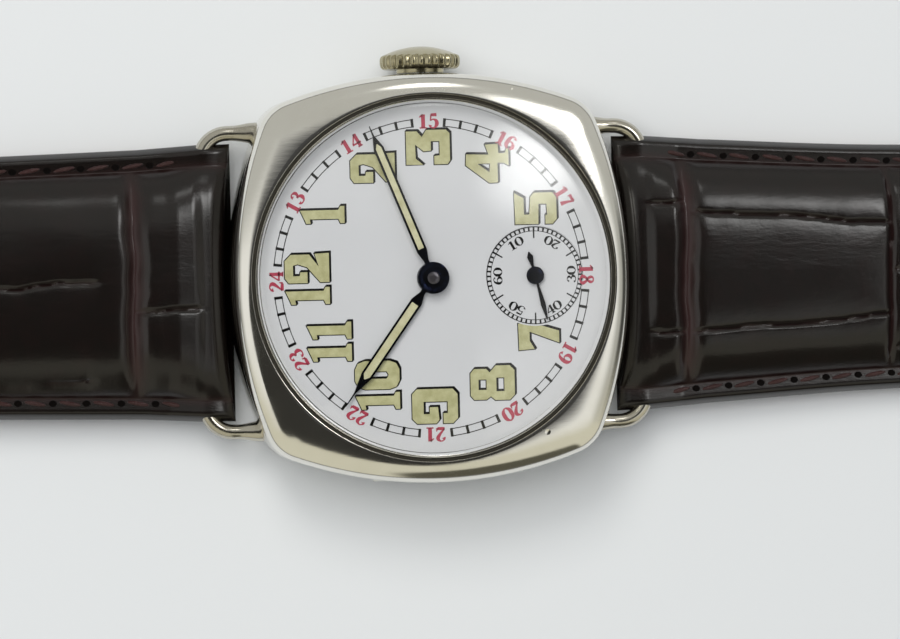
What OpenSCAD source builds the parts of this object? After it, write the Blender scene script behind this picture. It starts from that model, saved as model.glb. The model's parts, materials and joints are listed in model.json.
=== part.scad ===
// Cushion-shaped hand-wound wristwatch with fixed wire lugs and a padded strap laid open.
// The origin is the centre of the case back's outer flat, under the axis of the hands.
// X points to 3 o'clock and the crown, Y to 12 o'clock, and Z out of the dial.

/* [Case] */
// Case length from 12 to 6 o'clock, without the lugs
case_length = 32.1; // [31.5:0.1:36]
// Case width from 9 to 3 o'clock, without the crown
case_width = 32.9; // [31.5:0.1:36]
// Radius of the four long arcs of the cushion outline
side_radius = 33; // [28:1:60]
// Radius of the cushion's corners
corner_radius = 3.5; // [2:0.1:6]
// Height of the parting line between the back and the middle
back_height = 2.2; // [1.9:0.1:2.6]
// Wall of the back and its flat
back_wall = 0.5; // [0.4:0.05:0.7]
// Radius of the flat that the watch rests on
back_flat_radius = 12; // [9:0.5:12.5]
// Height of the bezel's pillow
bezel_height = 2.3; // [1.8:0.1:3]
// Radius where the bezel's pillow meets the crystal rim
rim_radius = 14.75; // [14.6:0.05:15.2]
// Wire diameter of the fixed lugs
lug_wire = 1.2; // [1:0.05:1.4]
// Distance between the two legs of a lug, centre to centre
lug_span = 24.05; // [23.5:0.05:25]
// Height of the lug wires above the back's flat
lug_height = 3.1; // [2.9:0.05:3.6]
// Distance from the case's edge to the lug bar's axis
lug_reach = 1.95; // [1.9:0.05:2.6]
// Bend radius of the lug wire
lug_bend = 2.2; // [1.5:0.1:2.6]

/* [Crystal and dial] */
// Height of the crystal's dome above its rim
crystal_rise = 1.6; // [0.8:0.1:2.4]
// Thickness of the crystal
crystal_thickness = 1; // [0.7:0.05:1.2]
// Dial radius
dial_radius = 14; // [13.8:0.05:14.05]
// Dial thickness
dial_thickness = 0.65; // [0.5:0.05:0.8]
// Distance of the small seconds from the dial's centre
subdial_offset = 8.3; // [8:0.05:8.6]
// Radius of the sunk small seconds dial
subdial_radius = 3.95; // [3.8:0.05:4.2]
// Depth of the sunk small seconds dial
subdial_depth = 0.2; // [0.1:0.05:0.3]

/* [Hands] */
// Minutes shown
shown_minutes = 11.37; // [0:0.01:59]
// Hours shown
shown_hours = 10; // [0:1:11]
// Seconds shown
shown_seconds = 42.6; // [0:0.1:59]
// Length of the minute hand
minute_length = 13.1; // [11:0.1:13.3]
// Length of the hour hand
hour_length = 12.4; // [9:0.1:12.6]
// Width of the minute hand
minute_width = 0.82; // [0.6:0.02:1.2]
// Width of the hour hand
hour_width = 0.94; // [0.7:0.02:1.3]
// Thickness of the hour and minute hands
hand_thickness = 0.16; // [0.12:0.01:0.2]
// Length of the seconds hand's pointer
seconds_length = 3.66; // [3:0.02:3.8]
// Length of the seconds hand's tail
seconds_tail = 1.96; // [1.5:0.02:2.4]

/* [Crown] */
// Crown diameter
crown_diameter = 6.5; // [5:0.1:6.8]
// Length of the crown along the stem
crown_length = 1.85; // [1.6:0.05:2.6]
// Number of flutes on the crown
crown_flutes = 34; // [24:1:48]
// Depth of the crown's flutes
flute_depth = 0.16; // [0.1:0.02:0.25]
// Diameter of the crown's neck
crown_neck = 3.8; // [2.6:0.1:4.4]
// Gap between the case and the pushed-in crown
crown_gap = 0.12; // [0.08:0.02:0.3]
// Distance the crown is pulled out to set the hands
crown_travel = 0.8; // [0.5:0.1:1]
// Diameter of the winding stem
stem_diameter = 1.2; // [1:0.05:1.3]
// Height of the stem's axis
stem_height = 3.5; // [3.45:0.05:3.7]

/* [Movement] */
// Radius of the main plate
movement_radius = 13.25; // [13.1:0.05:13.4]
// Thickness of the main plate
plate_thickness = 1; // [0.8:0.05:1.2]
// Thickness of the bridges
bridge_thickness = 0.6; // [0.5:0.05:0.65]
// Space for the wheels between the bridges and the main plate
train_space = 2.3; // [2.2:0.05:2.6]
// Space for the hand-setting wheels between the main plate and the dial
motion_space = 0.9; // [0.85:0.05:1.1]
// Gear module of the centre wheel and the third pinion
centre_module = 0.12; // [0.115:0.001:0.122]
// Gear module of the third wheel and the fourth pinion
third_module = 0.11; // [0.108:0.001:0.113]
// Gear module of the fourth wheel and the escape pinion
fourth_module = 0.09; // [0.086:0.001:0.092]
// Gear module of the barrel and the centre pinion
barrel_module = 0.13; // [0.125:0.001:0.132]
// Radius of the balance wheel's rim
balance_radius = 4.4; // [4:0.05:4.45]
// Radius of the escape wheel
escape_radius = 2.2; // [2:0.05:2.3]
// Radius of the jewels
jewel_radius = 0.5; // [0.4:0.02:0.55]

/* [Strap] */
// Width of the strap at the lugs
strap_width = 22; // [20:0.1:22.2]
// Width of the strap's buckle end
buckle_end_width = 18; // [16:0.1:18.5]
// Length of the buckle half, bar to bar
buckle_half = 75; // [65:1:90]
// Length of the holed half, from its bar to its tip
holed_half = 115; // [105:1:130]
// Thickness of the padded strap near the lugs
pad_thickness = 4.4; // [3.8:0.1:4.6]
// Thickness of the strap at its thin end
end_thickness = 2.6; // [2.4:0.1:3]
// Thickness of the strap's stitched rim
rim_thickness = 2.3; // [2.1:0.1:2.6]
// Thickness of the lining leather
lining = 0.8; // [0.5:0.1:1]
// Radius of the strap's loop round a lug bar
loop_radius = 1.6; // [1.4:0.05:1.7]
// Diameter of the tongue holes
hole_diameter = 1.6; // [1.2:0.1:2]
// Spacing of the tongue holes
hole_pitch = 6; // [5:0.5:7]
// Width of a keeper along the strap
keeper_width = 5; // [4:0.5:7]
// Thickness of the keeper leather
keeper_leather = 0.9; // [0.7:0.1:1]

/* [Buckle] */
// Diameter of the buckle's bar
buckle_bar_diameter = 1.4; // [1.2:0.05:1.5]
// Diameter of the buckle frame's wire
buckle_wire = 2.1; // [1.8:0.1:2.3]
// Length of the buckle frame from its bar
buckle_length = 9.5; // [8:0.5:12]
// Width of the tang
tang_width = 1.8; // [1.4:0.1:2]
// Height of the buckle bar above the table
buckle_height = 2; // [1.9:0.05:2.4]

/* [Hidden] */
$fn = 72;

// Colours of the real materials
silver = [0.80, 0.79, 0.76];
nickel = [0.70, 0.69, 0.66];
gilt = [0.74, 0.62, 0.36];
blued = [0.06, 0.09, 0.22];
steel = [0.62, 0.63, 0.66];
lume = [0.80, 0.77, 0.58];
ruby = [0.72, 0.06, 0.16];
leather = [0.15, 0.09, 0.08];
tan_leather = [0.45, 0.28, 0.16];

// Running and fitting clearances
fit = 0.02;
run = 0.1;
deep = 50;

// Heights, from the back to the crystal
movement_gap = 0.45;
cock_thickness = 0.45;
z_cock = back_wall + movement_gap;
z_bridge = z_cock + 0.75;
z_bridge_top = z_bridge + bridge_thickness;
z_plate = z_bridge_top + train_space;
z_plate_top = z_plate + plate_thickness;
z_dial = z_plate_top + motion_space;
z_dial_top = z_dial + dial_thickness;
z_bezel = z_dial + 0.1;
z_rim = z_bezel + bezel_height;
z_seconds = z_dial_top + 0.05;
z_hour = z_dial_top + 0.3;
z_minute = z_hour + hand_thickness + 0.24;
z_crystal_top = z_rim + 0.1 + crystal_rise;

// Rounded cushion: four long arcs joined by four corner arcs that are tangent to them
half_w = case_width / 2;
half_l = case_length / 2;
side_x = [half_w - side_radius, 0];
side_y = [0, half_l - side_radius];
half_gap = norm(side_y - side_x) / 2;
corner_reach = sqrt(pow(side_radius - corner_radius, 2) - half_gap * half_gap);
corner = (side_x + side_y) / 2
    + corner_reach * [side_radius - half_l, side_radius - half_w] / (2 * half_gap);
angle_x = atan2(corner.y - side_x.y, corner.x - side_x.x);
angle_y = atan2(corner.y - side_y.y, corner.x - side_y.x);
side_steps = 9;
corner_steps = 5;

function arc(c, r, from, to, n) =
    [for (i = [0:n - 1]) let (a = from + (to - from) * i / n) c + r * [cos(a), sin(a)]];

function cushion(inset) = let (s = side_radius - inset, c = corner_radius - inset) concat(
    arc(side_x, s, 0, angle_x, side_steps),
    arc(corner, c, angle_x, angle_y, corner_steps),
    arc(side_y, s, angle_y, 180 - angle_y, 2 * side_steps),
    arc([-corner.x, corner.y], c, 180 - angle_y, 180 - angle_x, corner_steps),
    arc(-side_x, s, 180 - angle_x, 180 + angle_x, 2 * side_steps),
    arc(-corner, c, 180 + angle_x, 180 + angle_y, corner_steps),
    arc(-side_y, s, 180 + angle_y, 360 - angle_y, 2 * side_steps),
    arc([corner.x, -corner.y], c, 360 - angle_y, 360 - angle_x, corner_steps),
    arc(side_x, s, 360 - angle_x, 360, side_steps)
);

// One ring of a case loft: the cushion blended by share towards a circle of radius r
function ring(inset, share, r, z) = [for (p = cushion(inset)) let (a = atan2(p.y, p.x))
    [(1 - share) * p.x + share * r * cos(a), (1 - share) * p.y + share * r * sin(a), z]];

// Quads between stacked rings, wound for rings that run anticlockwise seen from the last one
function skin(n, from, to) = [for (i = [0:n - 1]) let (j = (i + 1) % n)
    each [[from * n + i, to * n + i, to * n + j], [from * n + i, to * n + j, from * n + j]]];

module loft(rings, closed = false) {
    n = len(rings[0]);
    last = len(rings) - 1;
    walls = [for (k = [0:last - 1]) each skin(n, k, k + 1)];
    ends = closed ? skin(n, last, 0)
        : [[for (i = [0:n - 1]) i], [for (i = [n - 1:-1:0]) last * n + i]];
    polyhedron(points = [for (r = rings) each r], faces = concat(walls, ends), convexity = 8);
}

module disc(r, z0, z1) {
    translate([0, 0, z0]) cylinder(r = r, h = z1 - z0);
}

module tube(r, bore, z0, z1) {
    difference() {
        disc(r, z0, z1);
        disc(bore, z0 - 1, z1 + 1);
    }
}

module along_x(r, x0, x1) {
    translate([x0, 0, 0]) rotate([0, 90, 0]) cylinder(r = r, h = x1 - x0);
}

module along_y(r, y0, y1) {
    translate([0, y1, 0]) rotate([90, 0, 0]) cylinder(r = r, h = y1 - y0);
}

// Hinge of the back, tucked under the middle's bulge on the 9 o'clock side
hinge_x = 0.65 - half_w;
knuckle_radius = 0.6;
knuckle_length = 3;
hinge_pin_radius = 0.3;

module at_hinge() {
    translate([hinge_x, 0, back_height]) children();
}

// Dog screws: their heads reach over a step in the middle and hold the plate
dog_angles = [172, 346];
dog_head = 0.8;
dog_shaft = 0.3;
dog_at = movement_radius - 0.4;

// The lip of the back turns inside the middle's lower recess
lip_outer = movement_radius + 0.85;
lip_inner = movement_radius + 0.35;
lip_height = 0.5;
middle_inset = 0.35;

// Crown and stem along X
crown_inner = half_w + crown_gap;
neck_length = 0.3;
crown_base = crown_inner + neck_length;
stem_bore = stem_diameter / 2 + 0.15;

module on_stem() {
    translate([0, 0, stem_height]) children();
}

// Lug wires at 12 o'clock; the ones at 6 are turned half round
bar_y = half_l + lug_reach;
leg_x = lug_span / 2;
wire_r = lug_wire / 2;
leg_depth = 4;
leg_root = bar_y - lug_bend - leg_depth;
foot_spread = 0.25;
foot_length = 2.1;
foot_y = leg_root + 1.15;

// Foot of a lug leg, widening into the case; spread makes the pocket that takes it
module lug_foot(spread) {
    translate([0, foot_y, 0]) rotate([-90, 0, 0])
        cylinder(r1 = wire_r + foot_spread + spread, r2 = wire_r + spread, h = foot_length);
}

module case_middle() {
    socket = wire_r + fit;
    color(silver) difference() {
        union() {
            loft([
                ring(middle_inset, 0, 0, back_height), ring(0.12, 0, 0, back_height + 0.5),
                ring(0, 0, 0, back_height + 1.4), ring(0, 0, 0, z_bezel - 1.1),
                ring(0.05, 0, 0, z_bezel - 0.4), ring(0.16, 0, 0, z_bezel)
            ]);
            at_hinge() for (side = [-1, 1])
                translate([0, side * knuckle_length, 0])
                    along_y(knuckle_radius, -knuckle_length / 2, knuckle_length / 2);
        }
        disc(movement_radius + run, 0, deep);
        disc(dial_radius + 0.15, z_dial, deep);
        disc(lip_outer + run, 0, back_height + lip_height + run);
        for (a = dog_angles) rotate(a) translate([dog_at, 0, 0]) disc(dog_head + 0.1, 0, z_plate);
        on_stem() along_x(stem_bore, 0, deep);
        for (side = [-1, 1], end = [-1, 1])
            translate([side * leg_x, 0, lug_height])
                rotate(end > 0 ? 0 : 180) {
                    along_y(socket, leg_root - fit, deep);
                    lug_foot(fit);
                }
        at_hinge() along_y(knuckle_radius + run, -knuckle_length / 2 - run,
            knuckle_length / 2 + run);
        at_hinge() along_y(hinge_pin_radius + fit, -deep, deep);
    }
}

// The bezel's pillow runs from the cushion edge to the round crystal rim
lip_radius = rim_radius - 0.33;
seat_radius = rim_radius - 0.13;
bezel_bore = dial_radius + 0.15;
pillow_steps = 5;
pillow_end = 78;
bezel_land = 0.2;
seat_depth = 0.57;
pry_width = 1;
pry_depth = 0.35;

module bezel() {
    seat_top = z_rim - 0.28;
    pillow = [for (k = [0:pillow_steps]) let (a = pillow_end * k / pillow_steps)
        ring(0, (1 - cos(a)) / (1 - cos(pillow_end)), rim_radius,
            z_bezel + bezel_land + (bezel_height - bezel_land) * sin(a) / sin(pillow_end))];
    lip = [
        ring(0, 1, rim_radius - 0.05, z_rim - 0.12), ring(0, 1, rim_radius - 0.14, z_rim - 0.12),
        ring(0, 1, rim_radius - 0.19, z_rim + 0.06), ring(0, 1, lip_radius, z_rim + 0.03),
        ring(0, 1, lip_radius, seat_top), ring(0, 1, seat_radius, seat_top),
        ring(0, 1, seat_radius, seat_top - seat_depth), ring(0, 1, bezel_bore, seat_top - seat_depth),
        ring(0, 1, bezel_bore, z_bezel)
    ];
    color(silver) difference() {
        loft(concat([ring(0.08, 0, 0, z_bezel)], pillow, lip), closed = true);
        // Notch for the tool that lifts the bezel and crystal
        rotate(-18) translate([rim_radius + 0.02, -pry_width / 2, z_rim - pry_depth])
            cube([0.5, pry_width, deep]);
    }
}

// Crystal: two spheres make the dome, and a flange sits in the bezel's groove
module crystal() {
    edge = lip_radius - 0.07;
    flange = seat_radius - 0.05;
    flange_top = z_rim - 0.32;
    flange_base = flange_top - seat_depth + 0.1;
    rise = z_crystal_top - z_rim;
    outer = (edge * edge + rise * rise) / (2 * rise);
    inner = outer * 1.3;
    color([0.9, 0.94, 0.96, 0.35]) rotate_extrude() union() {
        difference() {
            intersection() {
                translate([0, z_crystal_top - outer]) circle(outer, $fn = 360);
                translate([0, flange_base]) square([edge, deep]);
            }
            translate([0, z_crystal_top - crystal_thickness - inner]) circle(inner, $fn = 360);
        }
        translate([edge - 0.45, flange_base]) square([flange - edge + 0.45, flange_top - flange_base]);
    }
}

module case_back() {
    steps = 5;
    bowl = [for (k = [0:steps]) let (a = 90 * k / steps)
        ring(middle_inset, 1 - sin(a), back_flat_radius, back_height * (1 - cos(a)))];
    notch = 3 * knuckle_length + 2 * run;
    color(silver) difference() {
        union() {
            difference() {
                loft(bowl);
                // The edge beyond the hinge's axis would rise as the back opens
                at_hinge() translate([-2, -notch / 2, -2]) cube([2, notch, 3]);
            }
            disc(lip_outer, back_height - 0.5, back_height + lip_height);
            at_hinge() along_y(knuckle_radius, -knuckle_length / 2, knuckle_length / 2);
        }
        translate([0, 0, back_wall]) cylinder(r1 = back_flat_radius + 0.4,
            r2 = movement_radius - 0.05, h = 1);
        disc(movement_radius - 0.05, back_wall + 1, back_height);
        disc(lip_inner, back_height - 0.01, deep);
        at_hinge() for (side = [-1, 1]) translate([0, side * (knuckle_length + run), 0])
            along_y(knuckle_radius + run, -knuckle_length / 2 - run, knuckle_length / 2 + run);
        at_hinge() along_y(hinge_pin_radius + 0.04, -deep, deep);
    }
}

module back_hinge_pin() {
    reach = 1.5 * knuckle_length;
    color(steel) at_hinge() along_y(hinge_pin_radius, -reach, reach);
}

module lug_wire() {
    straight = leg_x - lug_bend;
    color(silver) translate([0, 0, lug_height]) union() {
        translate([0, bar_y, 0]) along_x(wire_r, -straight, straight);
        for (side = [-1, 1]) {
            translate([side * leg_x, 0, 0]) {
                along_y(wire_r, leg_root, bar_y - lug_bend);
                lug_foot(0);
            }
            mirror([side < 0 ? 1 : 0, 0, 0]) translate([straight, bar_y - lug_bend, 0])
                rotate_extrude(angle = 90) translate([lug_bend, 0]) circle(wire_r, $fn = 24);
        }
    }
}

module lug_wire_12() {
    lug_wire();
}

module lug_wire_6() {
    rotate(180) lug_wire();
}

// Crown: a fluted band between a bevelled foot and a low dome
module crown() {
    r = crown_diameter / 2;
    band = crown_length * 0.6;
    dome_base = r - flute_depth - 0.05;
    dome_rise = crown_length - band;
    dome_r = (dome_base * dome_base + dome_rise * dome_rise) / (2 * dome_rise);
    flute = 180 / crown_flutes;
    outline = [for (i = [0:crown_flutes - 1]) let (a = 2 * flute * i) each [
        r * [cos(a - flute * 0.45), sin(a - flute * 0.45)],
        r * [cos(a + flute * 0.45), sin(a + flute * 0.45)],
        (r - flute_depth) * [cos(a + flute), sin(a + flute)]
    ]];
    color(nickel) on_stem() rotate([0, 90, 0]) difference() {
        union() {
            translate([0, 0, crown_inner]) cylinder(r = crown_neck / 2, h = crown_length / 2);
            translate([0, 0, crown_base]) intersection() {
                linear_extrude(band) polygon(outline);
                cylinder(r1 = r - 0.15, r2 = r + band - 0.15, h = band);
            }
            translate([0, 0, crown_base]) rotate_extrude() intersection() {
                translate([0, band - 0.1]) square([dome_base, deep]);
                translate([0, crown_length - dome_r]) circle(dome_r, $fn = 180);
                square([r, crown_length]);
            }
        }
        translate([0, 0, crown_inner - 1]) cylinder(r = stem_diameter / 2 + fit,
            h = 1 + crown_length * 0.6);
    }
}

// Stem: round through the case and the winding pinion, square in the sliding pinion
pilot_x = 5.85;
pilot_radius = 0.35;
square_x = 7.05;
winding_x = 9.3;
stem_square = stem_diameter * 0.66;

module winding_stem() {
    color(steel) on_stem() union() {
        along_x(pilot_radius, pilot_x, square_x);
        translate([square_x, -stem_square / 2, -stem_square / 2])
            cube([winding_x - square_x, stem_square, stem_square]);
        along_x(stem_diameter / 2, winding_x, crown_inner + crown_length * 0.55);
    }
}

// Dial with the sunk small seconds, its two holes and two feet
centre_hole = 1;
seconds_hole = 0.3;
foot_radius = 0.4;
foot_circle = 12.3;
foot_angles = [100, 265];

module dial_feet(r, z0, z1) {
    for (a = foot_angles) rotate(a) translate([foot_circle, 0, 0]) disc(r, z0, z1);
}

module dial() {
    color([0.95, 0.95, 0.93]) union() {
        difference() {
            disc(dial_radius, z_dial, z_dial_top);
            translate([0, -subdial_offset, 0]) disc(subdial_radius, z_dial_top - subdial_depth, deep);
            disc(centre_hole, 0, deep);
            translate([0, -subdial_offset, 0]) disc(seconds_hole, 0, deep);
        }
        dial_feet(foot_radius, z_plate + 0.2, z_dial + 0.01);
    }
}

// Hands point along Y before they are turned to the time shown
minute_angle = -6 * shown_minutes;
hour_angle = -30 * (shown_hours + shown_minutes / 60);
seconds_angle = -6 * shown_seconds;
hub_radius = 1.27;
cannon_radius = 0.5;
hour_tube = 0.85;

hand_neck = 0.2;
neck_end = 1.5;
shoulder = 2.3;
window_start = 2.5;
window_point = 0.35;
window_rim = 0.17;

// Half widths of a hand along its length, narrow at the hub and pointed at the tip
function hand_outline(w, l, taper) = let (half = [
        [hand_neck, hub_radius / 2], [hand_neck, neck_end], [w / 2, shoulder], [w / 2, l - taper],
        [0.07, l - taper * 0.45], [0.03, l]
    ]) concat(half, [for (i = [len(half) - 1:-1:0]) [-half[i].x, half[i].y]]);

function window_outline(w, l, taper, gap) = let (s = w / 2 - window_rim - gap, end = l - taper - gap) [
    [s, window_start + gap], [s, end], [0.04, end + window_point],
    [-0.04, end + window_point], [-s, end], [-s, window_start + gap]
];

module hand(w, l, taper, bore, z) {
    translate([0, 0, z]) linear_extrude(hand_thickness) difference() {
        union() {
            circle(hub_radius);
            polygon(hand_outline(w, l, taper));
        }
        circle(bore);
        polygon(window_outline(w, l, taper, 0));
    }
}

module hand_fill(w, l, taper, z) {
    color(lume) translate([0, 0, z + 0.02]) linear_extrude(hand_thickness - 0.03)
        polygon(window_outline(w, l, taper, 0.01));
}

minute_taper = 1.9;
hour_taper = 3;

module minute_hand() {
    color(blued) rotate(minute_angle)
        hand(minute_width, minute_length, minute_taper, cannon_radius + fit, z_minute);
}

module minute_lume() {
    rotate(minute_angle) hand_fill(minute_width, minute_length, minute_taper, z_minute);
}

module hour_hand() {
    color(blued) rotate(hour_angle)
        hand(hour_width, hour_length, hour_taper, hour_tube + fit, z_hour);
}

module hour_lume() {
    rotate(hour_angle) hand_fill(hour_width, hour_length, hour_taper, z_hour);
}

seconds_pivot = 0.13;
seconds_hub = 0.7;
seconds_boss = 0.3;
seconds_plate = 0.1;

// Half widths of the pointer, a narrow leaf, and of the drop that balances it
seconds_leaf = [[0.08, 0], [0.09, 0.8], [0.2, seconds_length * 0.66], [0.05, seconds_length]];
seconds_drop = [[0.08, 0], [0.1, -0.8], [0.25, 0.4 - seconds_tail], [0.02, -seconds_tail]];

module mirrored(half) {
    polygon(concat(half, [for (i = [len(half) - 1:-1:0]) [-half[i].x, half[i].y]]));
}

module seconds_hand() {
    color(blued) translate([0, -subdial_offset, z_seconds]) rotate(seconds_angle) difference() {
        union() {
            linear_extrude(seconds_plate) union() {
                circle(seconds_hub);
                mirrored(seconds_leaf);
                mirrored(seconds_drop);
            }
            disc(seconds_boss, 0, seconds_plate + 0.08);
        }
        disc(seconds_pivot + fit, -1, 1);
    }
}

// Tooth counts: one turn an hour, sixty turns an hour and the twelve to one of the hour hand
barrel_teeth = 80;
centre_leaves = 10;
centre_teeth = 80;
third_leaves = 10;
third_teeth = 75;
fourth_leaves = 10;
fourth_teeth = 80;
escape_leaves = 8;
escape_teeth = 15;
cannon_leaves = 12;
minute_teeth = 36;
minute_leaves = 10;
hour_teeth = 40;
setting_teeth = 20;
ratchet_teeth = 44;
crown_teeth = 24;
winding_teeth = 16;

function reach(m, a, b) = m * (a + b) / 2;
function polar(r, a) = [r * cos(a), r * sin(a)];
function direction(a, b) = atan2(b.y - a.y, b.x - a.x);

// Places of the pivots; the third wheel closes the triangle between centre and small seconds
fourth_at = [0, -subdial_offset];
d_centre = reach(centre_module, centre_teeth, third_leaves);
d_fourth = reach(third_module, third_teeth, fourth_leaves);
third_y = (d_centre * d_centre - d_fourth * d_fourth + subdial_offset * subdial_offset)
    / (2 * subdial_offset);
third_at = [sqrt(d_centre * d_centre - third_y * third_y), -third_y];
barrel_at = polar(reach(barrel_module, barrel_teeth, centre_leaves), 62);
escape_at = fourth_at + polar(reach(fourth_module, fourth_teeth, escape_leaves), 160);
fork_at = escape_at + polar(escape_radius + 0.35, 110);
balance_at = fork_at + polar(3.3, 115);
motion_module = 0.115;
motion_reach = reach(motion_module, cannon_leaves, minute_teeth);
minute_at = polar(motion_reach, 20);
hour_module = 2 * motion_reach / (minute_leaves + hour_teeth);
setting_at = minute_at + [reach(motion_module, minute_teeth, setting_teeth), 0];
crown_wheel_at = [7.3, 0];
winding_module = 2 * norm(barrel_at - crown_wheel_at) / (ratchet_teeth + crown_teeth);

// Turn of gear b so that its gaps take the teeth of gear a, which is turned by phase
function mesh(phase, a, b, towards) = towards + 180 + 180 / b + (towards - phase) * a / b;

barrel_phase = 0;
centre_leaf_phase = mesh(barrel_phase, barrel_teeth, centre_leaves, direction(barrel_at, [0, 0]));
third_leaf_phase = mesh(0, centre_teeth, third_leaves, direction([0, 0], third_at));
fourth_leaf_phase = mesh(0, third_teeth, fourth_leaves, direction(third_at, fourth_at));
escape_leaf_phase = mesh(0, fourth_teeth, escape_leaves, direction(fourth_at, escape_at));
minute_phase = mesh(0, cannon_leaves, minute_teeth, direction([0, 0], minute_at));
hour_phase = mesh(0, minute_leaves, hour_teeth, direction(minute_at, [0, 0]));
setting_phase = mesh(minute_phase, minute_teeth, setting_teeth, direction(minute_at, setting_at));
ratchet_phase = 0;
crown_phase = mesh(ratchet_phase, ratchet_teeth, crown_teeth, direction(barrel_at, crown_wheel_at));

// Watch tooth: radial flanks up to the pitch line and a pointed arch above it
function gear_outline(m, teeth, width, phase) = let (
        pitch = m * teeth / 2, step = 360 / teeth, half = step * width / 2
    ) [for (i = [0:teeth - 1]) let (a = phase + step * i) each [
        polar(pitch - 1.25 * m, a - half), polar(pitch, a - half),
        polar(pitch + 0.55 * m, a - half * 0.72), polar(pitch + 0.95 * m, a - half * 0.25),
        polar(pitch + 0.95 * m, a + half * 0.25), polar(pitch + 0.55 * m, a + half * 0.72),
        polar(pitch, a + half), polar(pitch - 1.25 * m, a + half)
    ]];

wheel_tooth = 0.42;
leaf_tooth = 0.36;

// Window between two arms of a wheel
function window(r0, r1, arms, arm, k) = let (
        step = 360 / arms, a0 = asin(arm / 2 / r0), a1 = asin(arm / 2 / r1), b = step * k
    ) concat(
        [for (i = [0:6]) polar(r1, b + a1 + (step - 2 * a1) * i / 6)],
        [for (i = [3:-1:0]) polar(r0, b + a0 + (step - 2 * a0) * i / 3)]
    );

// A flat hole with twelve sides that clears a round of radius r
module clear_hole(r) {
    circle((r + 0.01) / cos(15), $fn = 12);
}

module gear(m, teeth, z0, z1, bore, phase = 0, width = wheel_tooth, arms = 0, hub = 0.8) {
    rim = m * teeth / 2 - 1.25 * m - 0.4;
    translate([0, 0, z0]) linear_extrude(z1 - z0) difference() {
        polygon(gear_outline(m, teeth, width, phase));
        clear_hole(bore);
        if (arms > 0) for (k = [0:arms - 1]) polygon(window(hub, rim, arms, 0.35, k));
    }
}

// Arbor with a pivot at each end
module arbor(r, pivot, z0, z1, top, bottom) {
    union() {
        disc(r, z0, z1);
        disc(pivot, bottom, z0 + 0.01);
        disc(pivot, z1 - 0.01, top);
    }
}

// Levels of the wheels
z_low = z_bridge_top + 0.42;
z_third = z_plate - 0.95;
z_mid = z_plate - 1.45;
z_barrel = z_plate - 1.5;
z_barrel_teeth = z_plate - 0.5;
wheel_thickness = 0.17;
arbor_gap = 0.08;
pivot = 0.1;
centre_pivot = 0.22;
centre_arbor = 0.3;

module at(p) {
    translate([p.x, p.y, 0]) children();
}

module centre_wheel() {
    leaves = z_barrel_teeth - 0.08;
    color(gilt) gear(centre_module, centre_teeth, z_low, z_low + wheel_thickness, centre_arbor,
        arms = 5, hub = 1.1);
    color(steel) gear(barrel_module, centre_leaves, leaves, z_plate - 0.12, centre_arbor,
        centre_leaf_phase, leaf_tooth);
    color(steel) union() {
        disc(centre_arbor, z_bridge_top + arbor_gap, z_minute + hand_thickness + 0.12);
        disc(centre_pivot, z_bridge + 0.1, z_bridge_top + arbor_gap + 0.01);
    }
}

module third_wheel() {
    color(gilt) at(third_at) gear(third_module, third_teeth, z_third, z_third + wheel_thickness,
        0.25, arms = 5);
    color(steel) at(third_at) gear(centre_module, third_leaves, z_low - 0.12,
        z_low + wheel_thickness + 0.12, 0.25, third_leaf_phase, leaf_tooth);
    color(steel) at(third_at) arbor(0.25, pivot, z_bridge_top + arbor_gap, z_plate - arbor_gap,
        z_plate + 0.3, z_bridge + 0.15);
}

module fourth_wheel() {
    color(gilt) at(fourth_at) gear(fourth_module, fourth_teeth, z_mid, z_mid + wheel_thickness,
        0.25, arms = 5);
    color(steel) at(fourth_at) gear(third_module, fourth_leaves, z_third - 0.12,
        z_third + wheel_thickness + 0.12, 0.25, fourth_leaf_phase, leaf_tooth);
    color(steel) at(fourth_at) union() {
        disc(0.25, z_bridge_top + arbor_gap, z_plate - arbor_gap);
        disc(pivot, z_bridge + 0.15, z_bridge_top + arbor_gap + 0.01);
        disc(seconds_pivot, z_plate - arbor_gap - 0.01, z_seconds + 0.14);
    }
}

// Club teeth lean forward from a light rim
module escape_wheel() {
    step = 360 / escape_teeth;
    root = escape_radius * 0.78;
    outline = [for (i = [0:escape_teeth - 1]) let (a = step * i) each [
        polar(root, a), polar(escape_radius * 0.97, a + step * 0.32),
        polar(escape_radius, a + step * 0.52), polar(root, a + step * 0.4), polar(root, a + step * 0.7)
    ]];
    color(steel) at(escape_at) translate([0, 0, z_low]) linear_extrude(wheel_thickness) difference() {
        polygon(outline);
        clear_hole(0.15);
        for (k = [0:3]) polygon(window(0.5, root - 0.25, 4, 0.25, k));
    }
    color(steel) at(escape_at) gear(fourth_module, escape_leaves, z_mid - 0.12,
        z_mid + wheel_thickness + 0.12, 0.15, escape_leaf_phase, leaf_tooth);
    color(steel) at(escape_at) arbor(0.15, pivot, z_bridge_top + arbor_gap, z_plate - arbor_gap,
        z_plate + 0.3, z_bridge + 0.15);
}

// Lever: two pallets at thirty degrees either side of the line of centres, and a forked tail.
// They stand clear of the teeth, because the wheel turns past them at a steady rate here.
fork_length = norm(balance_at - fork_at);
pallet_clear = 0.34;
lever_thickness = 0.15;

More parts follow.
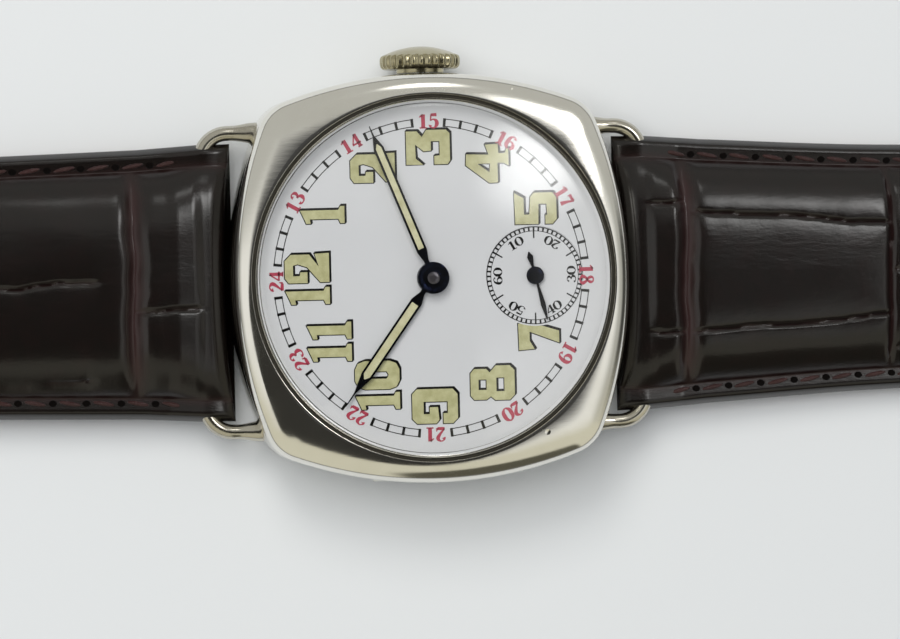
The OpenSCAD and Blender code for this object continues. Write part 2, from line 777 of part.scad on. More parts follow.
module pallet_fork() {
    span = norm(fork_at - escape_at);
    ring_r = escape_radius + pallet_clear;
    tail = fork_length - 0.95;
    turn = direction(fork_at, escape_at) - direction(fork_at, balance_at);
    color(steel) at(fork_at) rotate(direction(fork_at, balance_at)) union() {
        translate([0, 0, z_low - lever_thickness]) linear_extrude(lever_thickness) difference() {
            union() {
                polygon([[0, 0.2], [tail, 0.12], [tail, -0.12], [0, -0.2]]);
                polygon([[tail - 0.3, 0.12], [tail, 0.45], [tail + 0.3, 0.45], [tail + 0.1, 0.2],
                    [tail + 0.1, -0.2], [tail + 0.3, -0.45], [tail, -0.45], [tail - 0.3, -0.12]]);
                circle(0.42, $fn = 12);
                rotate(turn) for (side = [-1, 1]) {
                    tip = [span, 0] - polar(ring_r, side * 30);
                    polygon([[0, -side * 0.35], [0.2, -side * 0.2], tip + [0.05, side * 0.2],
                        tip + [-0.2, side * 0.25], tip + [-0.35, -side * 0.1]]);
                }
            }
            clear_hole(0.15);
        }
        // Pallet stones, at the level of the escape wheel
        rotate(turn) for (side = [-1, 1]) {
            tip = [span, 0] - polar(ring_r, side * 30);
            translate([tip.x, tip.y, z_low - 0.01]) rotate(side * 30)
                linear_extrude(wheel_thickness) square([0.3, 0.16], center = true);
        }
    }
    color(steel) at(fork_at) arbor(0.15, pivot, z_bridge_top + 0.2, z_plate - arbor_gap,
        z_plate + 0.3, z_bridge_top + 0.05);
}

// Balance: a rim with timing screws on two arms, a staff and a roller with its impulse pin
z_balance = z_bridge + 0.12;
balance_rim = 0.5;
balance_height = 0.36;

module balance_wheel() {
    screws = 14;
    color(gilt) at(balance_at) translate([0, 0, z_balance]) union() {
        difference() {
            cylinder(r = balance_radius, h = balance_height);
            translate([0, 0, -1]) cylinder(r = balance_radius - balance_rim, h = 2);
        }
        rotate(35) difference() {
            union() {
                translate([0.2 - balance_radius, -0.25, 0.05])
                    cube([2 * balance_radius - 0.4, 0.5, balance_height - 0.1]);
                cylinder(r = 0.6, h = balance_height);
            }
            translate([0, 0, -1]) cylinder(r = 0.21, h = 2);
        }
        for (k = [0:screws - 1]) rotate(360 / screws * (k + 0.5))
            translate([0, 0, balance_height / 2]) along_x(0.15, balance_radius - 0.2,
                balance_radius + 0.24);
    }
    color(steel) at(balance_at) arbor(0.2, pivot, z_cock + cock_thickness + 0.1,
        z_plate - arbor_gap, z_plate + 0.3, z_cock + 0.15);
    color(steel) at(balance_at) tube(0.7, 0.21, z_low - 0.34, z_low - 0.2);
}

// Flat spiral from the collet to the stud, its turns worked out from one formula
spring_turns = 5;
spring_pitch = 0.5;
spring_wire = 0.07;
spring_start = 0.62;
spring_gap = spring_pitch - spring_wire;
echo(least_gap_between_hairspring_turns = spring_gap);

function spiral(start, pitch, turns, offset) = [for (i = [0:24 * turns])
    polar(start + pitch * i / 24 + offset, 15 * i)];

module spiral_strip(start, pitch, turns, wire) {
    outer = spiral(start, pitch, turns, wire / 2);
    inner = spiral(start, pitch, turns, -wire / 2);
    polygon(concat(outer, [for (i = [len(inner) - 1:-1:0]) inner[i]]));
}

z_spring = z_cock + cock_thickness + 0.14;
spring_height = 0.12;

module hairspring() {
    stud_r = spring_start + spring_pitch * spring_turns;
    color(blued) at(balance_at) translate([0, 0, z_spring]) linear_extrude(spring_height)
        spiral_strip(spring_start, spring_pitch, spring_turns, spring_wire);
    color(steel) at(balance_at) translate([stud_r + 0.3, 0, 0])
        disc(0.22, z_cock + cock_thickness + 0.02, z_spring + spring_height);
}

// Going barrel with its cover, spring and arbor
barrel_drum = barrel_module * barrel_teeth / 2 - 1.25 * barrel_module - 0.3;
barrel_wall = 0.22;
arbor_radius = 0.55;
core_radius = 1.2;

module barrel() {
    color(gilt) at(barrel_at) gear(barrel_module, barrel_teeth, z_barrel_teeth, z_plate - 0.2,
        barrel_drum, barrel_phase);
    color(gilt) at(barrel_at) difference() {
        disc(barrel_drum, z_barrel + 0.2, z_plate - 0.12);
        disc(barrel_drum - barrel_wall, z_barrel, z_plate - 0.32);
        disc(arbor_radius + 0.03, 0, deep);
    }
}

module barrel_cover() {
    color(gilt) at(barrel_at) tube(barrel_drum, arbor_radius + 0.03, z_barrel, z_barrel + 0.18);
}

module barrel_arbor() {
    side = arbor_radius * 1.2;
    color(steel) at(barrel_at) union() {
        disc(arbor_radius, z_bridge_top - 0.1, z_plate - 0.05);
        disc(core_radius, z_barrel + 0.24, z_plate - 0.38);
        disc(0.3, z_plate - 0.06, z_plate + 0.7);
        translate([-side / 2, -side / 2, z_ratchet - 0.02])
            cube([side, side, z_bridge_top - 0.1 - z_ratchet + 0.03]);
    }
}

module mainspring() {
    turns = 8;
    start = core_radius + 0.15;
    pitch = (barrel_drum - barrel_wall - 0.15 - start) / turns;
    color(steel) at(barrel_at) translate([0, 0, z_barrel + 0.28])
        linear_extrude(z_plate - 0.42 - z_barrel - 0.28) spiral_strip(start, pitch, turns, 0.14);
}

// Ratchet and crown wheel lie on the barrel bridge, under the case back
winding_thickness = 0.28;
ratchet_thickness = winding_thickness - 0.06;
z_ratchet = z_bridge - 0.06 - winding_thickness;
z_face = z_bridge + 0.3;
face_depth = 0.1;

module ratchet_wheel() {
    side = arbor_radius * 1.2 + 2 * fit;
    color(steel) at(barrel_at) translate([0, 0, z_ratchet]) linear_extrude(ratchet_thickness)
        difference() {
            polygon(gear_outline(winding_module, ratchet_teeth, wheel_tooth, ratchet_phase));
            square(side, center = true);
        }
    color(steel) at(barrel_at) difference() {
        disc(1.1, z_ratchet - 0.26, z_ratchet - 0.03);
        translate([-2, -0.12, z_ratchet - 1.17]) cube([4, 0.24, 1]);
    }
}

// Crown wheel: flat teeth for the ratchet, and face teeth for the winding pinion
face_outer = winding_module * crown_teeth / 2;
face_inner = face_outer - 0.42;
face_tooth = 0.14;
winding_radius = stem_height - z_face + 0.1;

module crown_wheel() {
    color(steel) at(crown_wheel_at) union() {
        gear(winding_module, crown_teeth, z_ratchet, z_ratchet + winding_thickness, 0.75,
            crown_phase);
        translate([0, 0, z_ratchet + winding_thickness - 0.01])
            linear_extrude(z_face - 0.2 - z_ratchet - winding_thickness) difference() {
                polygon([for (k = [0:47]) polar(face_outer, 7.5 * k)]);
                clear_hole(0.75);
            }
        for (k = [0:crown_teeth - 1]) rotate(360 / crown_teeth * (k + 0.5))
            translate([face_inner, -face_tooth / 2, z_face - 0.22])
                cube([face_outer - face_inner - 0.01, face_tooth, 0.22 + face_depth]);
    }
}

// Click: the pawl that holds the ratchet, drawn clear of its teeth
click_at = barrel_at + polar(winding_module * ratchet_teeth / 2 + 1.75, 150);

module click() {
    towards = direction(click_at, barrel_at);
    color(steel) at(click_at) rotate(towards) translate([0, 0, z_ratchet])
        linear_extrude(winding_thickness) difference() {
            polygon(concat([for (a = [60:30:330]) polar(0.75, a)],
                [[0.95, 0.2], [1.45, 0.35], [1, 0.9]]));
            clear_hole(0.35);
        }
}

// Winding pinion turns the crown wheel's face teeth; sliding pinion rides on the stem's square
winding_length = 1;

function star(r0, r1, teeth, width) = [for (i = [0:teeth - 1]) let (s = 360 / teeth, a = s * i) each [
    polar(r0, a - s * 0.42), polar(r1, a - s * width / 2), polar(r1, a + s * width / 2),
    polar(r0, a + s * 0.42)
]];

module winding_pinion() {
    color(steel) on_stem() translate([winding_x, 0, 0]) rotate([0, 90, 0])
        linear_extrude(winding_length) difference() {
            polygon(star(winding_radius - 0.4, winding_radius, winding_teeth, 0.34));
            clear_hole(stem_diameter / 2 + 0.04);
        }
}

module sliding_pinion() {
    color(steel) on_stem() translate([square_x + 0.1, 0, 0]) rotate([0, 90, 0]) difference() {
        union() {
            linear_extrude(0.5) polygon(star(0.75, 1, 12, 0.34));
            cylinder(r = 0.72, h = 1.9, $fn = 12);
            translate([0, 0, 1.35]) linear_extrude(0.55) polygon(star(0.9, 1.05, 12, 0.5));
        }
        translate([0, 0, 1]) cube([stem_square + 2 * 0.03, stem_square + 2 * 0.03, 4], center = true);
    }
}

// Hand-setting wheels under the dial
z_motion = z_plate_top + 0.15;

module cannon_pinion() {
    color(steel) gear(motion_module, cannon_leaves, z_motion - 0.05, z_motion + 0.28,
        cannon_radius, 0, leaf_tooth);
    color(steel) tube(cannon_radius, centre_arbor + fit, z_motion - 0.05,
        z_minute + hand_thickness + 0.06);
}

module minute_wheel() {
    color(gilt) at(minute_at) gear(motion_module, minute_teeth, z_motion, z_motion + 0.16, 0.3,
        minute_phase);
    color(steel) at(minute_at) gear(hour_module, minute_leaves, z_motion + 0.16, z_motion + 0.62,
        0.3, 0, leaf_tooth);
}

module hour_wheel() {
    color(gilt) gear(hour_module, hour_teeth, z_motion + 0.42, z_motion + 0.58, hour_tube,
        hour_phase);
    color(gilt) tube(hour_tube, cannon_radius + 0.1, z_motion + 0.38, z_hour + hand_thickness);
}

module setting_wheel() {
    color(steel) at(setting_at) gear(motion_module, setting_teeth, z_motion, z_motion + 0.16, 0.3,
        setting_phase);
}

// Pivots whose jewels sit in the bridges and the main plate
train_pivots = [third_at, fourth_at, escape_at];
plate_pivots = [third_at, escape_at, fork_at, balance_at];
jewel_height = 0.35;
screw_radius = 0.3;
head_radius = 0.65;

// Edge between the barrel bridge and the train bridge, and the clear circle of the balance
edge_height = -2.2;
edge_slope = 0.1;

function bridge_edge(shift) = [[-20, edge_height + 20 * edge_slope + shift],
    [20, edge_height - 20 * edge_slope + shift]];
balance_clear = balance_radius + 0.5;
cock_head = 1.3;
cock_foot_inner = 11;
cock_heading = atan2(balance_at.y, balance_at.x) % 360;
bridge_split = 0.15;

module half_above(shift) {
    polygon(concat(bridge_edge(shift), [[20, 20], [-20, 20]]));
}

module half_below(shift) {
    polygon(concat(bridge_edge(shift), [[20, -20], [-20, -20]]));
}

barrel_screws = [polar(12.1, 35), polar(12.1, 92), polar(12.1, 150)];
train_screws = [polar(12.1, -28), polar(12.1, -62)];
cock_screw = polar(11.55, 194.6);

module balance_zone() {
    at(balance_at) circle(balance_clear);
}

module screw_holes(spots, r) {
    for (p = spots) at(p) circle(r);
}

bridge_rim = movement_radius - 0.3;
barrel_clear = barrel_module * (barrel_teeth / 2 + 1) + 0.25;

module bridge_foot() {
    translate([0, 0, z_bridge_top - 0.01]) linear_extrude(z_plate - z_bridge_top + 0.01)
        difference() {
            intersection() {
                circle(bridge_rim);
                children();
            }
            screw_holes(concat(barrel_screws, train_screws), screw_radius + fit);
        }
}

// Part of the plate's rim between two angles
module rim_sector(from, to, inner) {
    difference() {
        polygon(concat([[0, 0]], [for (i = [0:8]) polar(30, from + (to - from) * i / 8)]));
        circle(inner);
    }
}

module barrel_bridge() {
    color(nickel) difference() {
        union() {
            translate([0, 0, z_bridge]) linear_extrude(bridge_thickness) difference() {
                intersection() {
                    circle(bridge_rim);
                    half_above(bridge_split);
                }
                balance_zone();
                screw_holes(barrel_screws, screw_radius + fit);
                circle(centre_pivot + fit);
                at(barrel_at) circle(arbor_radius + 0.05);
            }
            bridge_foot() difference() {
                rim_sector(20, 158, 11.3);
                at(barrel_at) circle(barrel_clear);
            }
        }
        translate([0, 0, z_bridge - 1]) linear_extrude(deep)
            rim_sector(cock_heading - 12.5, cock_heading + 12.5, cock_foot_inner - 0.3);
        at(crown_wheel_at) tube(2.75, 0.7, 0, z_face + face_depth + 0.04);
        translate([winding_x - 0.15, -winding_radius - 0.1, 0])
            cube([winding_length + 0.3, 2 * winding_radius + 0.2, z_plate]);
        at(click_at) disc(0.33, 0, z_bridge + 0.3);
    }
}

module train_bridge() {
    color(nickel) union() {
        translate([0, 0, z_bridge]) linear_extrude(bridge_thickness) difference() {
            intersection() {
                circle(bridge_rim);
                half_below(-bridge_split);
                rim_sector(228, 352, 0);
            }
            balance_zone();
            screw_holes(train_screws, screw_radius + fit);
            screw_holes(train_pivots, jewel_radius + 0.01);
        }
        bridge_foot() rim_sector(-70, -18, 11.2);
    }
}

// Balance cock: a foot at the rim and an arm that ends in a round head over the balance
module balance_cock() {
    color(nickel) union() {
        translate([0, 0, z_cock]) linear_extrude(cock_thickness) difference() {
            intersection() {
                circle(back_flat_radius + 0.1);
                union() {
                    at(balance_at) circle(cock_head);
                    rotate(cock_heading) polygon([[norm(balance_at), cock_head - 0.05],
                        [cock_foot_inner, 2.1], [14, 2.4], [14, -2.4], [cock_foot_inner, -2.1],
                        [norm(balance_at), 0.05 - cock_head]]);
                }
            }
            at(balance_at) circle(jewel_radius + 0.01);
            at(cock_screw) circle(screw_radius + fit);
        }
        translate([0, 0, z_cock + cock_thickness - 0.01])
            linear_extrude(z_plate - z_cock - cock_thickness + 0.01) difference() {
                intersection() {
                    circle(back_flat_radius + 0.1);
                    rim_sector(cock_heading - 11, cock_heading + 11, cock_foot_inner + 0.05);
                }
                at(cock_screw) circle(screw_radius + fit);
            }
    }
}

pallet_cock_thickness = 0.15;

module pallet_cock() {
    away = direction(balance_at, fork_at) - 95;
    color(nickel) at(fork_at) union() {
        translate([0, 0, z_bridge_top + 0.03]) linear_extrude(pallet_cock_thickness) difference() {
            union() {
                circle(0.6);
                rotate(away) translate([0, -0.5]) square([2.3, 1]);
            }
            circle(pivot + 0.03);
        }
        translate(polar(1.9, away)) disc(0.38, z_bridge_top + 0.03 + pallet_cock_thickness / 2, z_plate);
    }
}

module mainplate() {
    pocket = winding_radius + 0.12;
    color(nickel) difference() {
        union() {
            disc(movement_radius, z_plate, z_plate_top);
            translate([pilot_x - 0.1, -0.6, stem_height - 0.6])
                cube([square_x - pilot_x + 0.05, 1.2, z_plate - stem_height + 0.61]);
            at(minute_at) disc(0.27, z_plate_top - 0.01, z_motion + 0.7);
            at(setting_at) disc(0.27, z_plate_top - 0.01, z_motion + 0.2);
        }
        disc(centre_arbor + 0.03, 0, deep);
        at(fourth_at) disc(seconds_pivot + fit, 0, deep);
        for (p = plate_pivots) at(p) disc(jewel_radius + 0.01, 0, z_plate + jewel_height + 0.01);
        at(barrel_at) disc(0.33, 0, z_plate + 0.75);
        translate([winding_x - 0.2, -pocket, 0]) cube([winding_length + 0.4, 2 * pocket, deep]);
        on_stem() along_x(pilot_radius + fit, 0, 8);
        on_stem() along_x(stem_bore, winding_x, deep);
        dial_feet(foot_radius + fit, 0, deep);
        for (a = dog_angles) rotate(a) translate([dog_at, 0, 0]) disc(dog_shaft + fit, 0, z_plate + 0.8);
        for (p = concat(barrel_screws, train_screws, [cock_screw]))
            at(p) disc(screw_radius + fit, 0, z_plate + 0.7);
    }
}

module jewel(z, hole) {
    tube(jewel_radius, hole, z, z + jewel_height);
}

module jewels() {
    hole = pivot + fit;
    color(ruby) union() {
        for (p = train_pivots) at(p) jewel(z_bridge_top - jewel_height, hole);
        for (p = plate_pivots) at(p) jewel(z_plate, hole);
        at(balance_at) jewel(z_cock + 0.08, hole);
    }
}

// Slotted screw with its head on the surface at z and its shaft up into the plate
module slotted_screw(z) {
    difference() {
        union() {
            disc(head_radius, z - 0.28, z - 0.01);
            disc(screw_radius, z - 0.02, z_plate + 0.6);
        }
        translate([-2, -0.1, z - 1.18]) cube([4, 0.2, 1]);
    }
}

module bridge_screws() {
    color(blued) union() {
        for (i = [0:len(barrel_screws) - 1]) at(barrel_screws[i]) rotate(40 * i) slotted_screw(z_bridge);
        for (i = [0:len(train_screws) - 1]) at(train_screws[i]) rotate(25 + 40 * i) slotted_screw(z_bridge);
        at(cock_screw) rotate(70) slotted_screw(z_cock);
        // Shoulder screw of the click and core of the crown wheel
        at(click_at) union() {
            disc(0.32, z_ratchet - 0.04, z_bridge + 0.28);
            disc(0.5, z_ratchet - 0.2, z_ratchet - 0.03);
        }
        at(crown_wheel_at) disc(1, z_ratchet - 0.24, z_ratchet - 0.05);
        at(crown_wheel_at) disc(0.68, z_ratchet - 0.06, z_bridge - 0.02);
    }
}

// Two dog screws whose heads hold the plate against the case
module case_screws() {
    color(steel) for (a = dog_angles) rotate(a) translate([dog_at, 0, 0]) difference() {
        union() {
            disc(dog_head, z_plate - 0.3, z_plate - 0.02);
            disc(dog_shaft, z_plate - 0.03, z_plate + 0.7);
        }
        translate([-2, -0.1, z_plate - 1.18]) cube([4, 0.2, 1]);
    }
}

// Profile of the strap from its lug bar, with the height counted from the bar
base_height = 0.95;
strap_base = base_height - lug_height;
lining_gap = 0.03;
groove_12 = 5.5;
groove_6 = 3.4;
groove_width = 1.3;
groove_depth = 0.55;
nose_end = 2.2;
nose_lift = 0.6;
lining_start = 3;
pad_top = strap_base + pad_thickness;

// Height of the padded crown above the strap's base, from the lug bar to an end at l,
// with the sewn groove across it at g
function pad(s, l, g) = lookup(s, [
    [0, loop_radius - strap_base], [nose_end, pad_thickness - 0.3],
    [g - groove_width / 2, pad_thickness], [g, pad_thickness - groove_depth],
    [g + groove_width / 2, pad_thickness], [l * 0.15, pad_thickness * 0.95],
    [l * 0.45, (pad_thickness + end_thickness) / 2 + 0.2], [l * 0.85, end_thickness],
    [l, end_thickness]
]);

// Crown across the strap: distance in from the edge, and share of the height above the rim
crown_steps = [[0.3, 0], [1.5, 0.06], [2.2, 0.5], [3.4, 0.82], [5.6, 0.96], [8.2, 1]];

edge_round = 0.25;
edge_widest = 0.55;

// Cross-section across X at one station, from its base z0, anticlockwise seen along the strap
function slice(y, half, z0, rim, top) = let (
        side = [for (c = crown_steps) [min(c[0], half - edge_round - 0.05), rim + (top - rim) * c[1]]],
        waist = z0 + (rim - z0) * edge_widest
    ) concat(
        [for (c = side) [half - c[0], y, c[1]]],
        [for (i = [len(side) - 1:-1:0]) [side[i][0] - half, y, side[i][1]]],
        [[-half, y, waist], [edge_round - half, y, z0], [half - edge_round, y, z0], [half, y, waist]]
    );

function reversed(list) = [for (i = [len(list) - 1:-1:0]) list[i]];

// Slices round a bar of the loop at station y, from the loop's end or to it
function loop_slices(y, half, r, way) = [for (a = way > 0 ? [20, 45, 70] : [70, 45, 20])
    slice(y - way * r * cos(a), half - 0.4 * (1 - sin(a)), -r * sin(a), r * sin(a) * 0.92,
        r * sin(a))];

module strap_loft(slices) {
    loft([for (s = slices) reversed(s)]);
}

flare_lead = 0.3;

// Bore for a lug wire, flared where the wire starts to bend
module lug_bore(half) {
    straight = leg_x - lug_bend;
    flare = half + 0.2 - straight + flare_lead;
    drop = lug_bend - sqrt(max(lug_bend * lug_bend - pow(half - straight, 2), 0.01));
    union() {
        along_x(wire_r + run, -half - 1, half + 1);
        for (side = [-1, 1]) mirror([side < 0 ? 1 : 0, 0, 0])
            translate([straight - flare_lead, 0, 0]) rotate([0, 90, 0])
                cylinder(r1 = wire_r + run, r2 = wire_r + run + 0.04 + drop, h = flare);
    }
}

function half_12(s) = (strap_width + (buckle_end_width - strap_width) * s / buckle_half) / 2;

// Stations across a groove at g
function groove_stations(g) = let (w = groove_width / 2) [g - w, g - w / 2, g, g + w / 2, g + w];

// Lower face near the lug bar, from the round nose to the strap's base
function nose_low(s) = -loop_radius + (strap_base + loop_radius) * s / nose_end;

lined_end = 6;
stations_12 = concat([0, 1, nose_end, lining_start - 0.1, lining_start, 4], groove_stations(groove_12),
    [7, 9, 12, 15, 20], [for (k = [3:8]) buckle_half * k / 9.6],
    [buckle_half - lined_end - 0.1, buckle_half - lined_end]);

function base_12(s) = s < lining_start - 0.05 || s > buckle_half - lined_end - 0.05
    ? strap_base : strap_base + lining + lining_gap;
function low_12(s) = s < nose_end ? nose_low(s) : base_12(s);
function rim_at(s, top) = min(rim_thickness + (s < lining_start ? nose_lift : 0), top - 0.1);

buckle_loop = 1.3;
loop_lead = 2.5;
slot_depth = 3.2;
slot_side = 0.3;
buckle_drop = buckle_height - lug_height;

module at_bar() {
    translate([0, bar_y, lug_height]) children();
}

module strap_12() {
    body = [for (s = stations_12) let (top = pad(s, buckle_half, groove_12))
        slice(s, half_12(s), low_12(s), strap_base + rim_at(s, top), strap_base + top)];
    end = [for (q = loop_slices(0, buckle_end_width / 2, buckle_loop, -1))
        [for (p = q) [p.x, p.y + buckle_half, p.z + buckle_drop]]];
    last = slice(buckle_half - loop_lead, buckle_end_width / 2 + 0.1, strap_base,
        strap_base + rim_thickness, strap_base + end_thickness);
    color(leather) at_bar() difference() {
        strap_loft(concat(loop_slices(0, strap_width / 2, loop_radius, 1), body, [last], end));
        lug_bore(strap_width / 2);
        translate([0, buckle_half, buckle_drop]) along_x(buckle_bar_diameter / 2 + 0.08, -deep, deep);
        translate([-tang_width / 2 - slot_side, buckle_half - slot_depth, -deep])
            cube([tang_width + 2 * slot_side, deep, 2 * deep]);
    }
}

module lining_12() {
    from = lining_start + run;
    to = buckle_half - lined_end - 2 * run;
    a = half_12(from) - edge_round;
    b = half_12(to) - edge_round;
    color(tan_leather) at_bar() translate([0, 0, strap_base]) linear_extrude(lining)
        polygon([[-a, from], [a, from], [b, to], [-b, to]]);
}

// Holed half: it sinks to the table, and its tip is a rounded point
tip_length = 11;
tip_width = 17;
settle = 24;

function half_6(s) = let (body = holed_half - tip_length,
        straight = (strap_width + (tip_width - strap_width) * min(s, body) / body) / 2,
        u = max(s - body, 0) / tip_length)
    straight * sqrt(max(1 - pow(u, 2.4), 0.02));

function base_6(s) = strap_base - (base_height - 0.05) * min(max((s - lining_start) / settle, 0), 1);

tip_thin = 3;
tip_drop = 0.3;
function pad_6(s) = pad(s, holed_half, groove_6) - tip_drop * max(s - holed_half + tip_thin, 0) / tip_thin;

stations_6 = concat([0, 1, nose_end], groove_stations(groove_6), [5, 7, 9, 12, 16, 21, 27],
    [for (k = [4:9]) (holed_half - tip_length) * k / 9],
    [for (u = [0.2, 0.4, 0.6, 0.75, 0.87, 0.95, 1]) holed_half - tip_length * (1 - u)]);

hole_count = 7;
first_hole = 62;

module tongue_holes() {
    for (k = [0:hole_count - 1]) translate([0, first_hole + hole_pitch * k, -deep])
        cylinder(d = hole_diameter, h = 2 * deep);
}

module strap_6() {
    body = [for (s = stations_6) let (raise = s < lining_start - 0.05 ? 0 : lining + lining_gap,
            low = s < nose_end ? nose_low(s) : base_6(s) + raise)
        slice(s, half_6(s), low, base_6(s) + rim_at(s, pad_6(s)), base_6(s) + pad_6(s))];
    color(leather) rotate(180) at_bar() difference() {
        strap_loft(concat(loop_slices(0, strap_width / 2, loop_radius, 1), body));
        lug_bore(strap_width / 2);
        tongue_holes();
    }
}

module lining_6() {
    spots = concat([lining_start + run], [for (s = stations_6)
        if (s > lining_start + 0.3 && s < holed_half - 0.6) s]);
    sheet = [for (s = spots) let (h = half_6(s) - edge_round, z = base_6(s))
        [[h, s, z], [h, s, z + lining], [-h, s, z + lining], [-h, s, z]]];
    color(tan_leather) rotate(180) at_bar() difference() {
        loft([for (q = sheet) reversed(q)]);
        tongue_holes();
    }
}

// Keepers: flat leather loops that stand round the buckle half of the strap
tail_room = 2.9;
keeper_back = 10;
keeper_pitch = 9;
keeper_slack = 0.4;
keeper_play = 1.1;
keeper_round = 1.2;
keeper_fixed_at = buckle_half - keeper_back;
keeper_free_at = keeper_fixed_at - keeper_pitch;

module rounded(w, h, r) {
    union() {
        square([w, h - 2 * r], center = true);
        square([w - 2 * r, h], center = true);
        for (x = [-1, 1], y = [-1, 1]) translate([x * (w / 2 - r), y * (h / 2 - r)]) circle(r, $fn = 24);
    }
}

module keeper(s, slack) {
    inner_w = 2 * half_12(s) + slack;
    strap_h = pad(s - keeper_width, buckle_half, groove_12);
    inner_h = strap_h + tail_room + 0.1;
    base = strap_base - 0.05;
    color(leather) at_bar() translate([0, s + keeper_width / 2, base + inner_h / 2])
        rotate([90, 0, 0]) linear_extrude(keeper_width) difference() {
            rounded(inner_w + 2 * keeper_leather, inner_h + 2 * min(keeper_leather, 0.85),
                keeper_round);
            rounded(inner_w, inner_h, keeper_round / 2.4);
        }
}

module keeper_fixed() {
    keeper(keeper_fixed_at, keeper_slack);
}

module keeper_free() {
    keeper(keeper_free_at, keeper_play);
}

// Buckle: wire frame, bar and tang
frame_r = buckle_wire / 2;
arm_x = buckle_end_width / 2 + 0.35 + frame_r;
frame_drop = 0.5;
ear_bore = 0.45;
ear_radius = frame_r + 0.15;
ear_width = 1.9;

module at_buckle() {
    translate([0, bar_y + buckle_half, buckle_height]) children();
}

module buckle_frame() {
    lean = asin(frame_drop / buckle_length);
    color(nickel) at_buckle() difference() {
        union() {
            for (side = [-1, 1]) translate([side * arm_x, 0, 0]) {
                along_x(ear_radius, -ear_width / 2, ear_width / 2);
                rotate([-lean, 0, 0]) along_y(frame_r, 0, buckle_length);
                rotate([-lean, 0, 0]) translate([0, buckle_length, 0]) sphere(frame_r, $fn = 32);
            }
            rotate([-lean, 0, 0]) translate([0, buckle_length, 0]) along_x(frame_r, -arm_x, arm_x);
        }
        along_x(ear_bore + fit, -arm_x - ear_width, arm_x + ear_width);
    }
}

module buckle_bar() {
    body = buckle_end_width / 2 + 0.25;
    color(steel) at_buckle() union() {
        along_x(buckle_bar_diameter / 2, -body, body);
        along_x(ear_bore, -arm_x - ear_width / 2, arm_x + ear_width / 2);
    }
}

module buckle_tang() {
    r = buckle_bar_diameter / 2 + 0.06;
    rest = frame_r - frame_drop + 0.06;
    w = tang_width / 2;
    l = buckle_length;
    color(nickel) at_buckle() difference() {
        union() {
            along_x(r + 0.4, -w, w);
            rotate([90, 0, 90]) translate([0, 0, -w]) linear_extrude(2 * w) polygon([
                [0, 0.35], [2, 0.1], [l * 0.6, rest - 0.25], [l - 0.9, rest + 0.03], [l + 0.6, rest],
                [l + 1.5, rest - 0.5], [l + 1.6, rest - 0.15], [l + 0.9, rest + 0.65],
                [l * 0.6, rest + 0.55], [2, r + 0.35], [0, r + 0.35]
            ]);
        }
        along_x(r, -deep, deep);
    }
}

case_middle();
bezel();
crystal();
case_back();
back_hinge_pin();
lug_wire_12();
lug_wire_6();
crown();
winding_stem();
dial();
hour_hand();
hour_lume();
minute_hand();
minute_lume();
seconds_hand();
mainplate();
barrel_bridge();
train_bridge();
balance_cock();
pallet_cock();
barrel();
barrel_cover();
barrel_arbor();
mainspring();
ratchet_wheel();
crown_wheel();
click();
winding_pinion();
sliding_pinion();
setting_wheel();
centre_wheel();
third_wheel();
fourth_wheel();
escape_wheel();
pallet_fork();
balance_wheel();
hairspring();
cannon_pinion();
minute_wheel();
hour_wheel();
jewels();
bridge_screws();
case_screws();
strap_12();
lining_12();
keeper_fixed();
keeper_free();
strap_6();
lining_6();
buckle_frame();
buckle_bar();
buckle_tang();
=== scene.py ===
# %% [markdown]
# # Dressing a cushion-shaped wristwatch
# A CAD model gives this watch its sizes and its moving parts. Here each surface that the
# eye sees is made again in Blender: polished silver, white enamel with printed and luminous
# numerals, blued hands, a domed crystal and a padded crocodile strap. The frame is loaded
# first, so that every new piece is placed by the numbers of the CAD model.

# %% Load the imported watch
import json
from math import atan2, cos, exp, floor, pi, radians, sin, sqrt, tan

import bmesh
import bpy
from mathutils import Matrix, Vector, noise


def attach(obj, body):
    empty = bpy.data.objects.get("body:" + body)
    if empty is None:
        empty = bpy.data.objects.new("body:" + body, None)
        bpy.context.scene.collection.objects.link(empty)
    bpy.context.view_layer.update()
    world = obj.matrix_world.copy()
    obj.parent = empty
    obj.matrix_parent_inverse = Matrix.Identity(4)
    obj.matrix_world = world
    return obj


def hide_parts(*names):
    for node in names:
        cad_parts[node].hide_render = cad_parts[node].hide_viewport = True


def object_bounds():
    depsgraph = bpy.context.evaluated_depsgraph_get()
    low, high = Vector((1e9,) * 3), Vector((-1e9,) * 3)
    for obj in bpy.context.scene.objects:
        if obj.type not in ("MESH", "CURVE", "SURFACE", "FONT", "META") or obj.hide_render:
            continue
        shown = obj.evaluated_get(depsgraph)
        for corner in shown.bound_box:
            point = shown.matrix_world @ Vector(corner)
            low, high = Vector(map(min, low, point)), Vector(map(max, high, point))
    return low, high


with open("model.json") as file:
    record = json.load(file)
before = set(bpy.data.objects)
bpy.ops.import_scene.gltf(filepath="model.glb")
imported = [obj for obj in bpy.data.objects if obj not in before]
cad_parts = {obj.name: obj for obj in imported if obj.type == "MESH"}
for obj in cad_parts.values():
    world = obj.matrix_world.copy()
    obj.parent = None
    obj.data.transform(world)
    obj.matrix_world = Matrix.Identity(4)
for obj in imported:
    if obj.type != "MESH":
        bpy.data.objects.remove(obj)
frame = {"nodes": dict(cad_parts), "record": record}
cad_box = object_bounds()

# %% [markdown]
# ## Small helpers
# Shapes are drawn in millimetres and turned into metres when a piece is finished. Colours
# are written as sRGB hex values, as a paint chart gives them, and made linear once. One
# function adds a shader node, so that a material reads as a short list of nodes.

# %% Colours, nodes and materials
MM = 0.001


def linear(code):
    """An sRGB hex colour as the linear RGBA that a shader wants."""
    parts = [int(code[i:i + 2], 16) / 255 for i in (1, 3, 5)]
    return [c / 12.92 if c <= 0.04045 else ((c + 0.055) / 1.055) ** 2.4 for c in parts] + [1]


